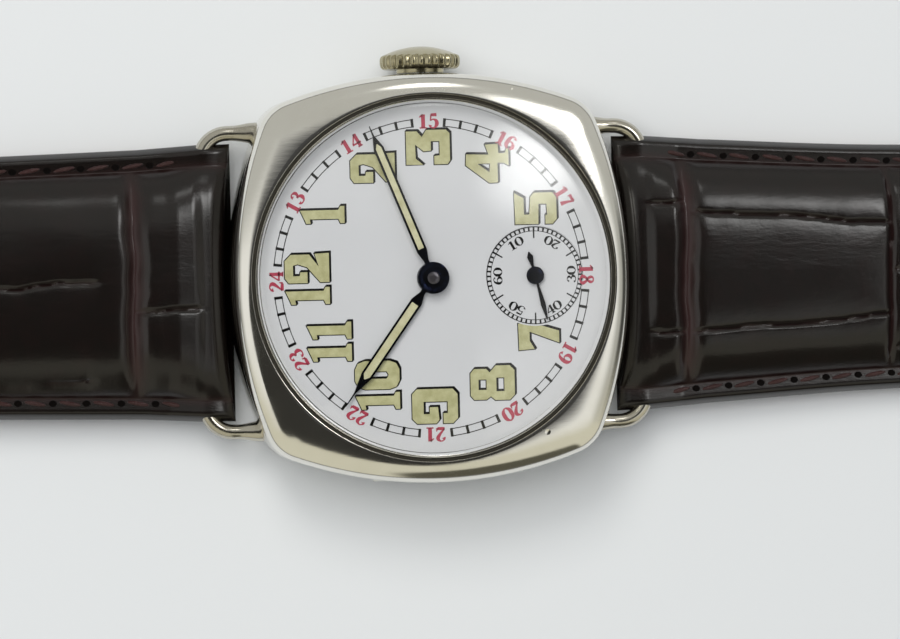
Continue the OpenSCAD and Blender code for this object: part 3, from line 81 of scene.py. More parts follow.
def add(tree, kind, inputs=None, **settings):
    """Add a node; inputs maps a socket's name or number to a value or to another socket."""
    node = tree.nodes.new(kind)
    for key, value in settings.items():
        setattr(node, key, value)
    for key, value in (inputs or {}).items():
        if isinstance(value, bpy.types.NodeSocket):
            tree.links.new(value, node.inputs[key])
        else:
            node.inputs[key].default_value = value
    return node


def finish_named(name, **sockets):
    """A new material whose Principled shader has these values or links on its own sockets."""
    material = bpy.data.materials.new(name)
    material.use_nodes = True
    shader = material.node_tree.nodes["Principled BSDF"]
    for key, value in sockets.items():
        shader.inputs[key.replace("_", " ")].default_value = value
    return material, material.node_tree, shader


def wire(tree, socket, shader, name):
    tree.links.new(socket, shader.inputs[name])


def per_mm(size):
    """The scale of a pattern whose features are size millimetres apart."""
    return 1000 / size


# %% Pieces from a bmesh
def turn_outwards(bm):
    bmesh.ops.recalc_face_normals(bm, faces=bm.faces[:])


def piece(name, bm, body, material, sharp=35, swaps=()):
    """Turn a bmesh drawn in millimetres into a piece in metres that rides on a body."""
    bmesh.ops.scale(bm, vec=(MM, MM, MM), verts=bm.verts[:])
    mesh = bpy.data.meshes.new(name)
    bm.to_mesh(mesh)
    bm.free()
    mesh.materials.append(material)
    mesh.shade_smooth()
    mesh.set_sharp_from_angle(angle=radians(sharp))
    made = bpy.data.objects.new(name, mesh)
    bpy.context.scene.collection.objects.link(made)
    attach(made, body)
    if swaps:
        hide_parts(*swaps)
    triangles = sum(len(p.vertices) - 2 for p in mesh.polygons)
    print(f"{name}: {triangles} triangles on {body}")
    return made


# %% Skin a stack of rings
def loft(rings, values=None, cap=True, join=False):
    """Extrude a circle from ring to ring, and move its points onto each ring in turn."""
    bm = bmesh.new()
    mark = bm.verts.layers.int.new("mark")
    tint = bm.verts.layers.float.new("valley")
    row = bmesh.ops.create_circle(bm, radius=1, segments=len(rings[0]))["verts"]
    for i, v in enumerate(row):
        v[mark] = i
    edges = first = bm.edges[:]
    for k, ring in enumerate(rings):
        if k:
            grown = bmesh.ops.extrude_edge_only(bm, edges=edges)["geom"]
            row = [g for g in grown if isinstance(g, bmesh.types.BMVert)]
            fresh = set(row)
            edges = [g for g in grown if isinstance(g, bmesh.types.BMEdge)
                     and g.verts[0] in fresh and g.verts[1] in fresh]
        for v in row:
            v.co = ring[v[mark]]
            if values:
                v[tint] = values[k][v[mark]]
    if join:
        bmesh.ops.bridge_loops(bm, edges=first + edges)
    elif cap:
        bmesh.ops.edgeloop_fill(bm, edges=first)
        bmesh.ops.edgeloop_fill(bm, edges=edges)
    turn_outwards(bm)
    return bm


def turned(profile, steps=128, centre=(0, 0, 0), closed=True):
    """Spin a profile of (radius, height) points about an axis along Z, as on a lathe."""
    bm = bmesh.new()
    x, y, z = centre
    verts = [bm.verts.new((x + r, y, z + h)) for r, h in profile]
    pairs = list(zip(verts, verts[1:])) + ([(verts[-1], verts[0])] if closed else [])
    edges = [bm.edges.new(pair) for pair in pairs]
    bmesh.ops.spin(bm, geom=verts + edges, cent=centre, axis=(0, 0, 1), angle=2 * pi,
                   steps=steps, use_merge=True)
    bmesh.ops.remove_doubles(bm, verts=bm.verts[:], dist=0.0005)
    bmesh.ops.dissolve_degenerate(bm, edges=bm.edges[:], dist=0.0001)
    turn_outwards(bm)
    return bm


def lookup(x, table):
    """Straight-line interpolation in a table of (x, y) pairs."""
    if x <= table[0][0]:
        return table[0][1]
    for (x0, y0), (x1, y1) in zip(table, table[1:]):
        if x <= x1:
            return y0 + (y1 - y0) * (x - x0) / (x1 - x0)
    return table[-1][1]


print("helpers ready")

# %% [markdown]
# ## Camera
# The photograph looks down on the dial, from a little above 12 o'clock and a touch towards
# the crown, with 12 o'clock at its left and the crown at its top. A long lens from 450 mm
# away keeps the case nearly free of perspective. The camera is turned 1.4 degrees about
# its own axis, as the watch stands in its picture.

# %% Camera
VIEW_FROM = 450
SENSOR = 36
LEAN_12, LEAN_3 = radians(8.5), radians(0.5)
ROLL = radians(1.4)
FRAME_WIDTH = 72.3
look_at = Vector((-3.38, -1.44, 7)) * MM
back = Vector((tan(LEAN_3), tan(LEAN_12), 1)).normalized()
up = Vector((1, 0, 0))
up = (up - up.dot(back) * back).normalized()
up = Matrix.Rotation(-ROLL, 3, back) @ up
right = up.cross(back)
camera_data = bpy.data.cameras.new("camera")
camera_data.sensor_width = SENSOR
camera_data.lens = SENSOR * VIEW_FROM / FRAME_WIDTH
camera_data.clip_start = 0.01
camera = bpy.data.objects.new("camera", camera_data)
bpy.context.scene.collection.objects.link(camera)
turn = Matrix((right, up, back)).transposed()
camera.matrix_world = Matrix.Translation(look_at + back * VIEW_FROM * MM) @ turn.to_4x4()
bpy.context.scene.camera = camera
print("lens:", round(camera_data.lens), "mm")

# %% [markdown]
# ## Floor, sky and lamps
# A watch on a white sweep is lit by large soft lamps, and polished metal shows the whole
# room. Here that room is a set of ramps and round patches in the world, pale, dark or
# bright, which only glossy rays see. The camera sees a plain pale colour instead. The
# lamps are weak enough that a colour renders about as it is written, and reflections
# don't show them.

# %% Floor
bpy.context.scene.view_settings.view_transform = "Standard"
paper, tree, shader = finish_named("white_paper_sweep", Base_Color=linear("#E4E6E6"),
                                   Roughness=0.85)
grain = add(tree, "ShaderNodeTexNoise", {"Scale": per_mm(0.8), "Detail": 3})
bump = add(tree, "ShaderNodeBump", {"Height": grain.outputs["Fac"], "Strength": 0.02,
                                    "Distance": 0.1 * MM})
wire(tree, bump.outputs[0], shader, "Normal")
bm = bmesh.new()
bmesh.ops.create_grid(bm, x_segments=2, y_segments=2, size=2)
FLOOR_GAP = 0.00002
floor_z = cad_box[0][2] - FLOOR_GAP
bmesh.ops.translate(bm, vec=(0, 0, floor_z), verts=bm.verts[:])
sweep_mesh = bpy.data.meshes.new("floor")
bm.to_mesh(sweep_mesh)
bm.free()
sweep_mesh.materials.append(paper)
sweep = bpy.data.objects.new("floor", sweep_mesh)
bpy.context.scene.collection.objects.link(sweep)
print("floor at", round(floor_z * 1000, 2), "mm")

# %% World
world = bpy.data.worlds.new("studio")
bpy.context.scene.world = world
world.use_nodes = True
tree = world.node_tree
tree.nodes.clear()
ray = add(tree, "ShaderNodeTexCoord").outputs["Generated"]
axes = add(tree, "ShaderNodeSeparateXYZ", {0: ray}).outputs
plan = add(tree, "ShaderNodeCombineXYZ", {0: axes["X"], 1: axes["Y"]}).outputs[0]

# Each patch is laid over those before it. It follows one axis of the ray, or the distance
# from a point of the sky seen in plan, from where it starts to where it is full, and then
# has its colour, in linear values because the brightest pass white.
OVERHEAD, DARKEST = (0.06, 0.06, 0.06), (0.035, 0.034, 0.03)
PATCHES = [("Z", 0.1, 0.6, (0.88, 0.88, 0.85)),
           ("Y", -0.5, -0.75, (0.45, 0.45, 0.42)),
           ("Y", -0.78, -0.92, (0.06, 0.06, 0.055)),
           ("X", 0.06, 0.28, (0.52, 0.52, 0.49)),
           ((0.62, -0.13, 0), 0.13, 0.02, (3.6, 3.6, 3.5)),
           ("X", -0.18, -0.42, (0.66, 0.64, 0.52)),
           ((-0.9, -0.3, 0), 0.32, 0.24, (0.1, 0.095, 0.07)),
           ((0, 0.14, 0), 0.26, 0.1, OVERHEAD),
           ((0, -0.06, 0), 0.26, 0.1, OVERHEAD),
           ((0, -0.24, 0), 0.26, 0.1, OVERHEAD),
           ((-0.2, -0.03, 0), 0.24, 0.2, DARKEST),
           ((-0.18, 0.27, 0), 0.205, 0.185, DARKEST),
           ("Z", 0.22, 0.02, (0.22, 0.22, 0.21)),
           ((0.278, -0.401, 0), 0.18, 0.02, (9.0, 9.0, 8.9))]
room = (0.42, 0.42, 0.39, 1)
for where, start, full, colour in PATCHES:
    if where in ("X", "Y", "Z"):
        measure = axes[where]
    else:
        measure = add(tree, "ShaderNodeVectorMath", {0: plan, 1: where},
                      operation="DISTANCE").outputs["Value"]
    share = add(tree, "ShaderNodeMapRange", {0: measure, 1: start, 2: full},
                interpolation_type="SMOOTHSTEP")
    room = add(tree, "ShaderNodeMix", {0: share.outputs[0], 6: room, 7: (*colour, 1)},
               data_type="RGBA").outputs[2]
path = add(tree, "ShaderNodeLightPath").outputs
seen = add(tree, "ShaderNodeMix", {0: path["Is Glossy Ray"], 6: linear("#A0A2A4"), 7: room},
           data_type="RGBA").outputs[2]
backdrop = add(tree, "ShaderNodeMix", {0: path["Is Camera Ray"], 6: seen,
                                       7: linear("#E6E8E8")}, data_type="RGBA").outputs[2]
glow = add(tree, "ShaderNodeBackground", {0: backdrop, 1: 1.0})
add(tree, "ShaderNodeOutputWorld", {0: glow.outputs[0]})
print("world:", len(tree.nodes), "nodes")


# %% Lamps
def lamp(name, place, size, power, tone="#FFFFFF"):
    """A square soft box that looks at the dial and that no reflection shows."""
    data = bpy.data.lights.new(name, "AREA")
    data.size = size
    data.energy = power
    data.color = linear(tone)[:3]
    box = bpy.data.objects.new(name, data)
    bpy.context.scene.collection.objects.link(box)
    place = Vector(place)
    box.rotation_euler = (place - look_at).to_track_quat("Z", "Y").to_euler()
    box.location = place
    box.visible_glossy = box.visible_transmission = False
    print(name, power, "W")


lamp("key_softbox", (0.42, 0.16, 0.52), 0.24, 1.2, "#FFFDF8")
lamp("ceiling_scrim", (0.22, 0.3, 0.85), 0.7, 5.0)

# %% [markdown]
# ## Silver
# The case is sterling silver, turned and polished, then worn for a century. Silver keeps a
# bright mirror with a faint warm tarnish, so the base is nearly white, fully metallic and
# smooth. Hairline scratches a few tenths of a millimetre apart blur it, a handful of small
# pits catch the light, and the band beside the crown is darkened: partly tarnish, partly
# painted shade that stands for the crown's dark reflection.

# %% Polished silver, worn
def two_tones(tree, shader, place, size, detail, first, second):
    """Colour the surface in clouds of two tones, size millimetres across."""
    cloud = add(tree, "ShaderNodeTexNoise", {0: place, "Scale": per_mm(size),
                                             "Detail": detail}).outputs["Fac"]
    tone = add(tree, "ShaderNodeMix", {0: cloud, 6: linear(first), 7: linear(second)},
               data_type="RGBA")
    wire(tree, tone.outputs[2], shader, "Base Color")
    return cloud


def hairlines(tree, place, spacing, turn, strength):
    """Fine scratches in one direction: a noise stretched 25 times along the scratch."""
    stretched = add(tree, "ShaderNodeMapping", {0: place, 2: (0, 0, turn), 3: (1, 0.04, 1)})
    lines = add(tree, "ShaderNodeTexNoise", {0: stretched.outputs[0], "Detail": 4,
                                             "Scale": per_mm(spacing), "Roughness": 0.65})
    return add(tree, "ShaderNodeBump", {"Height": lines.outputs["Fac"], "Strength": strength,
                                        "Distance": 0.02 * MM})


def polished(name, clean, dull, smooth, worn, spacing=0.25, strength=0.16):
    """Polished metal: a clean tone and a dull tone, cloudy roughness, crossed hairlines."""
    metal, tree, shader = finish_named(name, Metallic=1.0)
    place = add(tree, "ShaderNodeTexCoord").outputs["Object"]
    cloud = two_tones(tree, shader, place, 4, 5, clean, dull)
    haze = add(tree, "ShaderNodeMapRange", {0: cloud, 1: 0.35, 2: 0.7, 3: smooth, 4: worn})
    wire(tree, haze.outputs[0], shader, "Roughness")
    first = hairlines(tree, place, spacing, 0.5, strength)
    second = hairlines(tree, place, spacing * 1.3, 2.2, strength)
    tree.links.new(first.outputs[0], second.inputs["Normal"])
    wire(tree, second.outputs[0], shader, "Normal")
    return metal


silver = polished("polished_silver", "#F1EFE9", "#E4E1D8", 0.07, 0.14, strength=0.08)
print("silver:", len(silver.node_tree.nodes), "nodes")

# %% Pits, and tarnish with painted shade, on the silver
PIT_SPACING, PIT_DEPTH = 5, 0.06
TARNISH_AND_SHADE_AT, TARNISH_AND_SHADE_SIZE = (16.6, 0, 6.2), (1.3, 3.6, 2.2)
tree = silver.node_tree
shader = tree.nodes["Principled BSDF"]
scratches, bare = (shader.inputs[name].links[0].from_socket for name in ("Normal", "Base Color"))
place = add(tree, "ShaderNodeTexCoord").outputs["Object"]
pits = add(tree, "ShaderNodeTexVoronoi", {0: place, "Scale": per_mm(PIT_SPACING),
                                          "Randomness": 1.0})
sunk = add(tree, "ShaderNodeMapRange", {0: pits.outputs["Distance"], 1: 0.012, 2: 0.05,
                                        3: 0.0, 4: 1.0})
pitted = add(tree, "ShaderNodeBump", {"Height": sunk.outputs[0], "Strength": 0.5,
                                      "Distance": PIT_DEPTH * MM, "Normal": scratches})
wire(tree, pitted.outputs[0], shader, "Normal")
# Beside the crown the silver is darkened: partly tarnish, partly painted shade for the crown's
# dark reflection on the band.
centred = add(tree, "ShaderNodeMapping",
              {0: place, 1: [-at / size for at, size in zip(TARNISH_AND_SHADE_AT, TARNISH_AND_SHADE_SIZE)],
               3: [per_mm(size) for size in TARNISH_AND_SHADE_SIZE]})
off_centre = add(tree, "ShaderNodeVectorMath", {0: centred.outputs[0]}, operation="LENGTH")
ragged = add(tree, "ShaderNodeTexNoise", {0: place, "Scale": per_mm(0.8), "Detail": 4})
edge = add(tree, "ShaderNodeMath", {0: ragged.outputs["Fac"], 1: 0.25,
                                    2: off_centre.outputs["Value"]}, operation="MULTIPLY_ADD")
tarnish_and_shade = add(tree, "ShaderNodeMapRange", {0: edge.outputs[0], 1: 0.75, 2: 1.2, 3: 0.85, 4: 0.0},
            interpolation_type="SMOOTHSTEP")
tarnished_and_shaded = add(tree, "ShaderNodeMix", {0: tarnish_and_shade.outputs[0], 6: bare, 7: linear("#3A352E")},
              data_type="RGBA")
wire(tree, tarnished_and_shaded.outputs[2], shader, "Base Color")
print("pitted and tarnished:", len(tree.nodes), "nodes")


# %% Old dirt and painted shade in the groove
def grained(tree, shader, place, size, detail, strength, depth):
    """Raise a grain about size millimetres apart and depth millimetres high."""
    grain = add(tree, "ShaderNodeTexNoise", {0: place, "Scale": per_mm(size),
                                             "Detail": detail})
    relief = add(tree, "ShaderNodeBump", {"Height": grain.outputs["Fac"],
                                          "Strength": strength, "Distance": depth * MM})
    wire(tree, relief.outputs[0], shader, "Normal")


# A near-black finish for the bezel's groove: partly old dirt, partly painted shade for the deep,
# narrow gap.
grime_and_shade, tree, shader = finish_named("dried_dirt_and_painted_shade", Roughness=0.6)
place = add(tree, "ShaderNodeTexCoord").outputs["Object"]
two_tones(tree, shader, place, 0.3, 4, "#17150F", "#2E2A20")
grained(tree, shader, place, 0.3, 4, 0.5, 0.05)
print("dirt ready")

# %% Nickel, steel, blued steel, gilt plates and brass wheels
# The wire lugs get their own darker, rougher copy of the silver.
lug_silver = polished("darker_silver_wire", "#DAD6CA", "#A8A294", 0.12, 0.24)
crown_metal = polished("worn_nickel_silver", "#C4BDA0", "#A19879", 0.14, 0.26)
nickel = polished("nickel_plated_steel", "#CFCDC6", "#B9B6AC", 0.12, 0.22)
steel = polished("polished_steel", "#C4C6C9", "#A9ABAE", 0.14, 0.26, 0.15)
blued = polished("blued_steel", "#141A30", "#0C0E16", 0.16, 0.26, 0.12, 0.08)
riveted = polished("dulled_steel_rivet", "#77747A", "#56535A", 0.3, 0.42, 0.12, 0.1)
brass = polished("gilt_brass_wheels", "#D6B56A", "#B8934A", 0.2, 0.32, 0.12)
gilt, tree, shader = finish_named("frosted_gilt_plate", Metallic=1.0, Roughness=0.38)
place = add(tree, "ShaderNodeTexCoord").outputs["Object"]
two_tones(tree, shader, place, 5, 3, "#D9BE7C", "#BE9C55")
grained(tree, shader, place, 0.12, 4, 0.35, 0.02)
print("metals ready")

# %% [markdown]
# ## Enamel, print and luminous paint
# The dial is copper coated with white enamel, fired to a glass. It is faintly uneven and
# has a hard gloss. Numbers are printed in black or red and fired in, and the hour numerals
# are filled with old luminous paint, which is chalky, has aged from white to a khaki
# cream, and lies proud of the enamel like dried mud.

# %% Enamel and inks
def fired(name, clean, shaded, rough, coat=0.0, shine=0.5):
    """Glassy enamel: two close tones over some millimetres, and a soft orange-peel gloss."""
    glass, tree, shader = finish_named(name, Roughness=rough, IOR=1.52, Coat_Weight=coat,
                                       Coat_Roughness=0.03, Specular_IOR_Level=shine)
    place = add(tree, "ShaderNodeTexCoord").outputs["Object"]
    two_tones(tree, shader, place, 6, 3, clean, shaded)
    grained(tree, shader, place, 1.2, 2, 0.12, 0.03)
    return glass


enamel = fired("white_vitreous_enamel", "#DCDDDE", "#D6D7D8", 0.12, 0.3)
black_ink = fired("fired_black_print", "#060606", "#0E0D0B", 0.45, shine=0.15)
red_ink = fired("fired_red_print", "#A8324A", "#B84257", 0.3)
print("fired finishes ready")


# %% Luminous paint and ruby
def luminous(name, fresh, aged):
    """Chalky paint in blotches of two tones, crusted like dried mud."""
    paint, tree, shader = finish_named(name, Roughness=0.75)
    place = add(tree, "ShaderNodeTexCoord").outputs["Object"]
    blotch = add(tree, "ShaderNodeTexNoise", {0: place, "Scale": per_mm(0.9), "Detail": 5,
                                              "Roughness": 0.6})
    spread = add(tree, "ShaderNodeMapRange", {0: blotch.outputs["Fac"], 1: 0.35, 2: 0.68})
    tone = add(tree, "ShaderNodeMix", {0: spread.outputs[0], 6: linear(fresh),
                                       7: linear(aged)}, data_type="RGBA")
    wire(tree, tone.outputs[2], shader, "Base Color")
    grained(tree, shader, place, 0.14, 4, 0.6, 0.04)
    return paint


lume = luminous("aged_luminous_paint", "#C6C497", "#ACA97A")
pale_lume = luminous("aged_luminous_paint_of_hands", "#D3D0AC", "#BDB98F")
ruby, tree, shader = finish_named("synthetic_ruby", Roughness=0.05, IOR=1.76,
                                  Transmission_Weight=0.35)
place = add(tree, "ShaderNodeTexCoord").outputs["Object"]
two_tones(tree, shader, place, 0.4, 2, "#B3123C", "#7E0B2A")
print("dial finishes ready")

# %% [markdown]
# ## Crystal
# The crystal is a domed disc of clear mineral glass. Glass bends and mirrors light, but
# Cycles would let it throw a dark shadow on the dial, so a light path mix lets shadow and
# diffuse rays through. Faint smears in the roughness show that it has been handled.

# %% Mineral glass
crystal_glass, tree, shader = finish_named("domed_mineral_glass", Transmission_Weight=1.0,
                                           IOR=1.5, Base_Color=linear("#FFFFFF"))
place = add(tree, "ShaderNodeTexCoord").outputs["Object"]
smear = add(tree, "ShaderNodeTexNoise", {0: place, "Scale": per_mm(3), "Detail": 6})
film = add(tree, "ShaderNodeMapRange", {0: smear.outputs["Fac"], 1: 0.45, 2: 0.75, 3: 0.0,
                                        4: 0.03})
wire(tree, film.outputs[0], shader, "Roughness")
path = add(tree, "ShaderNodeLightPath")
through = add(tree, "ShaderNodeMath", {0: path.outputs["Is Shadow Ray"],
                                       1: path.outputs["Is Diffuse Ray"]},
              operation="MAXIMUM")
clear = add(tree, "ShaderNodeBsdfTransparent", {0: linear("#FCFCFC")})
pane = add(tree, "ShaderNodeMixShader", {0: through.outputs[0], 1: shader.outputs[0],
                                         2: clear.outputs[0]})
tree.links.new(pane.outputs[0], tree.nodes["Material Output"].inputs["Surface"])
print("glass ready")

# %% [markdown]
# ## Leather
# The strap is glazed crocodile: dyed nearly black, polished with agate, and red-brown in
# the valleys where the dye is thin. The scales themselves are modelled, so the material
# gives the colour from an attribute that marks the valleys, the tight glazed gloss, and
# the fine creases and pores that lie a few tenths of a millimetre apart.

# %% Glazed crocodile
croc, tree, shader = finish_named("glazed_crocodile", IOR=1.5, Specular_IOR_Level=0.32,
                                  Coat_Weight=0.3, Coat_Roughness=0.14)
place = add(tree, "ShaderNodeTexCoord").outputs["Object"]
valley = add(tree, "ShaderNodeAttribute", attribute_name="valley")
mottle = add(tree, "ShaderNodeTexNoise", {0: place, "Scale": per_mm(1.6), "Detail": 5})
thin_dye = add(tree, "ShaderNodeMath", {0: mottle.outputs["Fac"], 1: 0.35, 2: -0.15},
               operation="MULTIPLY_ADD")
dye = add(tree, "ShaderNodeMath", {0: valley.outputs["Fac"], 1: thin_dye.outputs[0]},
          operation="ADD", use_clamp=True)
tone = add(tree, "ShaderNodeMix", {0: dye.outputs[0], 6: linear("#120E0C"),
                                   7: linear("#2C1717")}, data_type="RGBA")
gloss = add(tree, "ShaderNodeMapRange", {0: valley.outputs["Fac"], 3: 0.22, 4: 0.45})
grain = add(tree, "ShaderNodeMapping", {0: place, 3: (1, 0.3, 1)})
wrinkle = add(tree, "ShaderNodeTexNoise", {0: grain.outputs[0], "Scale": per_mm(0.5),
                                           "Detail": 3, "Roughness": 0.6})
pores = add(tree, "ShaderNodeTexNoise", {0: place, "Scale": per_mm(0.2), "Detail": 2})
fine = add(tree, "ShaderNodeBump", {"Height": pores.outputs["Fac"], "Strength": 0.2,
                                    "Distance": 0.03 * MM})
skin = add(tree, "ShaderNodeBump", {"Height": wrinkle.outputs["Fac"], "Strength": 0.3,
                                    "Distance": 0.06 * MM, "Normal": fine.outputs[0]})
wire(tree, tone.outputs[2], shader, "Base Color")
wire(tree, gloss.outputs[0], shader, "Roughness")
wire(tree, skin.outputs[0], shader, "Normal")
print("crocodile:", len(tree.nodes), "nodes")


# %% Lining, thread and needle holes
def soft_hide(name, clean, shaded, grain_size, rough, strength, shine=0.5):
    """Leather or thread without a glaze: two tones, a grain and a matt surface."""
    hide, tree, shader = finish_named(name, Roughness=rough, Sheen_Weight=0.1,
                                      Specular_IOR_Level=shine)
    place = add(tree, "ShaderNodeTexCoord").outputs["Object"]
    two_tones(tree, shader, place, 4, 5, clean, shaded)
    grain = add(tree, "ShaderNodeTexVoronoi", {0: place, "Scale": per_mm(grain_size)})
    pebble = add(tree, "ShaderNodeBump", {"Height": grain.outputs["Distance"],
                                          "Strength": strength, "Distance": 0.08 * MM})
    wire(tree, pebble.outputs[0], shader, "Normal")
    return hide


calf = soft_hide("calf_lining", "#7A4C2E", "#5E3620", 0.4, 0.6, 0.4)
thread = soft_hide("waxed_linen_thread", "#341514", "#210E0D", 0.15, 0.5, 0.5)
# Near black and almost without shine: this paints the shade inside the needle holes.
needle_hole_shade = soft_hide("painted_needle_hole_shade", "#060403", "#0C0807", 0.2, 0.9, 0.2, shine=0.05)
print("leathers ready")

# %% Finishes for the CAD nodes
finish_of = {"case_metal": silver, "crown_metal": crown_metal, "steel": steel,
             "blued_steel": blued, "movement_plate": gilt, "wheel_brass": brass,
             "crystal": crystal_glass, "enamel": enamel, "lume": lume, "ruby": ruby,
             "strap_leather": croc, "lining_leather": calf, "buckle_metal": nickel}
for part in frame["record"]["subparts"]:
    node = frame["nodes"][part["node"]]
    for place in node.material_slots:
        place.material = finish_of[part["material_slot"]]
for name in ("hour_lume", "minute_lume"):
    frame["nodes"][name].material_slots[0].material = pale_lume
print("finished CAD nodes:", len(frame["nodes"]))

# %% [markdown]
# ## The cushion outline
# The case is a square whose sides swell into long arcs, joined by small corner arcs. The
# same outline, drawn in by an inset and blended towards a circle, gives every ring of the
# middle, the bezel and the back. These are the numbers of the CAD model, with many more
# points, because polished metal shows every facet.

# %% Outline rings
HALF_W, HALF_L = 16.45, 16.05
SIDE_R, CORNER_R = 33, 3.5
side_x = Vector((HALF_W - SIDE_R, 0))
side_y = Vector((0, HALF_L - SIDE_R))
half_gap = (side_y - side_x).length / 2
reach = sqrt((SIDE_R - CORNER_R) ** 2 - half_gap ** 2)
corner = (side_x + side_y) / 2 + reach * Vector((SIDE_R - HALF_L, SIDE_R - HALF_W)) / (
    2 * half_gap)
angle_x = atan2(corner.y - side_x.y, corner.x - side_x.x)
angle_y = atan2(corner.y - side_y.y, corner.x - side_y.x)


def arc(centre, radius, start, end, steps):
    """Points along an arc, without its last one."""
    return [Vector((centre[0] + radius * cos(start + (end - start) * i / steps),
                    centre[1] + radius * sin(start + (end - start) * i / steps)))
            for i in range(steps)]


def cushion(inset, sides=28, corners=12):
    """The outline, moved in by inset, anticlockwise from 3 o'clock."""
    s, c = SIDE_R - inset, CORNER_R - inset
    return (arc(side_x, s, 0, angle_x, sides)
            + arc(corner, c, angle_x, angle_y, corners)
            + arc(side_y, s, angle_y, pi - angle_y, 2 * sides)
            + arc((-corner.x, corner.y), c, pi - angle_y, pi - angle_x, corners)
            + arc(-side_x, s, pi - angle_x, pi + angle_x, 2 * sides)
            + arc(-corner, c, pi + angle_x, pi + angle_y, corners)
            + arc(-side_y, s, pi + angle_y, 2 * pi - angle_y, 2 * sides)
            + arc((corner.x, -corner.y), c, 2 * pi - angle_y, 2 * pi - angle_x, corners)
            + arc(side_x, s, 2 * pi - angle_x, 2 * pi, sides))


def ring(inset, share, radius, z):
    """The outline blended by share towards a circle of that radius, at height z."""
    points = []
    for p in cushion(inset):
        a = atan2(p.y, p.x)
        points.append(((1 - share) * p.x + share * radius * cos(a),
                       (1 - share) * p.y + share * radius * sin(a), z))
    return points


def circle_ring(radius, z):
    return ring(0, 1, radius, z)


print("outline points:", len(cushion(0)))

# %% [markdown]
# ## Case middle, bezel and back
# The real case is three pressings of silver: a band, a bezel that snaps over it and
# carries the crystal, and a bowl for a back. Each could be a subdivided cube, but a loft
# of exact rings keeps their edges crisp and lets them meet on fine dark lines.

# %% Case middle
middle = loft([
    ring(0.37, 0, 0, 2.2), ring(0.33, 0, 0, 2.24), ring(0.2, 0, 0, 2.5), ring(0.1, 0, 0, 2.8),
    ring(0.03, 0, 0, 3.3), ring(0, 0, 0, 3.9), ring(0, 0, 0, 5.3), ring(0.02, 0, 0, 5.8),
    ring(0.07, 0, 0, 6.2), ring(0.13, 0, 0, 6.48), ring(0.17, 0, 0, 6.56),
    ring(0.24, 0, 0, 6.59), circle_ring(14.15, 6.59), circle_ring(14.15, 6.5),
    circle_ring(13.35, 6.5), circle_ring(13.35, 2.8), circle_ring(14.2, 2.8),
    circle_ring(14.2, 2.2)], join=True)
piece("case_band", middle, "case", silver, swaps=["case_middle"])

# %% Bezel
Z_BEZEL, RIM = 6.60, 14.75
SHOULDER_Z, PILLOW_H = 6.8, 2.1
PILLOW, PILLOW_END, PILLOW_STEPS = 1.7, radians(78), 28
rings = [ring(0.2, 0, 0, Z_BEZEL), ring(0.1, 0, 0, Z_BEZEL + 0.02),
         ring(0.03, 0, 0, Z_BEZEL + 0.09), ring(0, 0, 0, Z_BEZEL + 0.2)]
for k in range(1, PILLOW_STEPS + 1):
    a = PILLOW_END * k / PILLOW_STEPS
    inwards = ((1 - cos(a)) / (1 - cos(PILLOW_END))) ** PILLOW
    rings.append(ring(0, inwards, RIM, SHOULDER_Z + PILLOW_H * sin(a) / sin(PILLOW_END)))
rings += [circle_ring(r, z) for r, z in [
    (14.73, 8.895), (14.70, 8.86), (14.68, 8.78), (14.67, 8.68), (14.45, 8.68), (14.43, 8.72),
    (14.42, 8.84), (14.40, 8.90), (14.37, 8.925), (14.33, 8.92), (14.30, 8.89), (14.28, 8.82),
    (14.28, 8.63), (14.62, 8.62), (14.62, 8.05), (14.15, 8.05), (14.15, Z_BEZEL)]]
piece("bezel_pillow", loft(rings, join=True), "case", silver,
      swaps=["bezel"])
# This ring of dirt also paints the shade at the bottom of the groove between bezel and crystal.
dirt_and_shade = turned([(14.66, 8.70), (14.66, 8.79), (14.62, 8.76), (14.55, 8.745), (14.49, 8.75),
               (14.455, 8.775), (14.455, 8.70)], 180)
piece("groove_dirt_and_shade", dirt_and_shade, "case", grime_and_shade)

# %% Back with its snap edge
HINGE_X, HINGE_Z, KNUCKLE_R = 0.65 - HALF_W, 2.2, 0.6
BACK_STEPS = 24


def clear_of_hinge(points):
    """The back is cut straight beside the hinge, as its edge would foul when it opens."""
    return [(max(x, HINGE_X + 0.34), y, z) for x, y, z in points]


rings = []
for k in range(BACK_STEPS + 1):
    a = radians(90) * k / BACK_STEPS
    rings.append(clear_of_hinge(ring(0.35, 1 - sin(a), 12, 2.2 * (1 - cos(a)))))
rings[-1] = clear_of_hinge(ring(0.36, 0, 0, 2.17))
rings += [circle_ring(14.1, 2.18), circle_ring(14.1, 2.7), circle_ring(13.6, 2.7),
          circle_ring(13.2, 2.2), circle_ring(13.2, 1.5), circle_ring(12.4, 0.5)]
piece("back_bowl", loft(rings), "back", silver, swaps=["case_back"])

# %% Hinge knuckles
def rod(bm, start, end, radius, segments=24):
    """A capped cylinder from start to end, added to bm."""
    start, end = Vector(start), Vector(end)
    along = end - start
    made = bmesh.ops.create_cone(bm, cap_ends=True, segments=segments, radius1=radius,
                                 radius2=radius, depth=along.length)["verts"]
    turn = along.to_track_quat("Z", "Y").to_matrix().to_4x4()
    bmesh.ops.transform(bm, matrix=Matrix.Translation((start + end) / 2) @ turn, verts=made)


def soften(bm, amount, segments=3, angle=30):
    """Round every edge that is sharper than angle."""
    edges = [e for e in bm.edges if e.is_manifold and e.calc_face_angle(0) > radians(angle)]
    bmesh.ops.bevel(bm, geom=edges, offset=amount, segments=segments, profile=0.5,
                    affect="EDGES", material=-1, clamp_overlap=True)


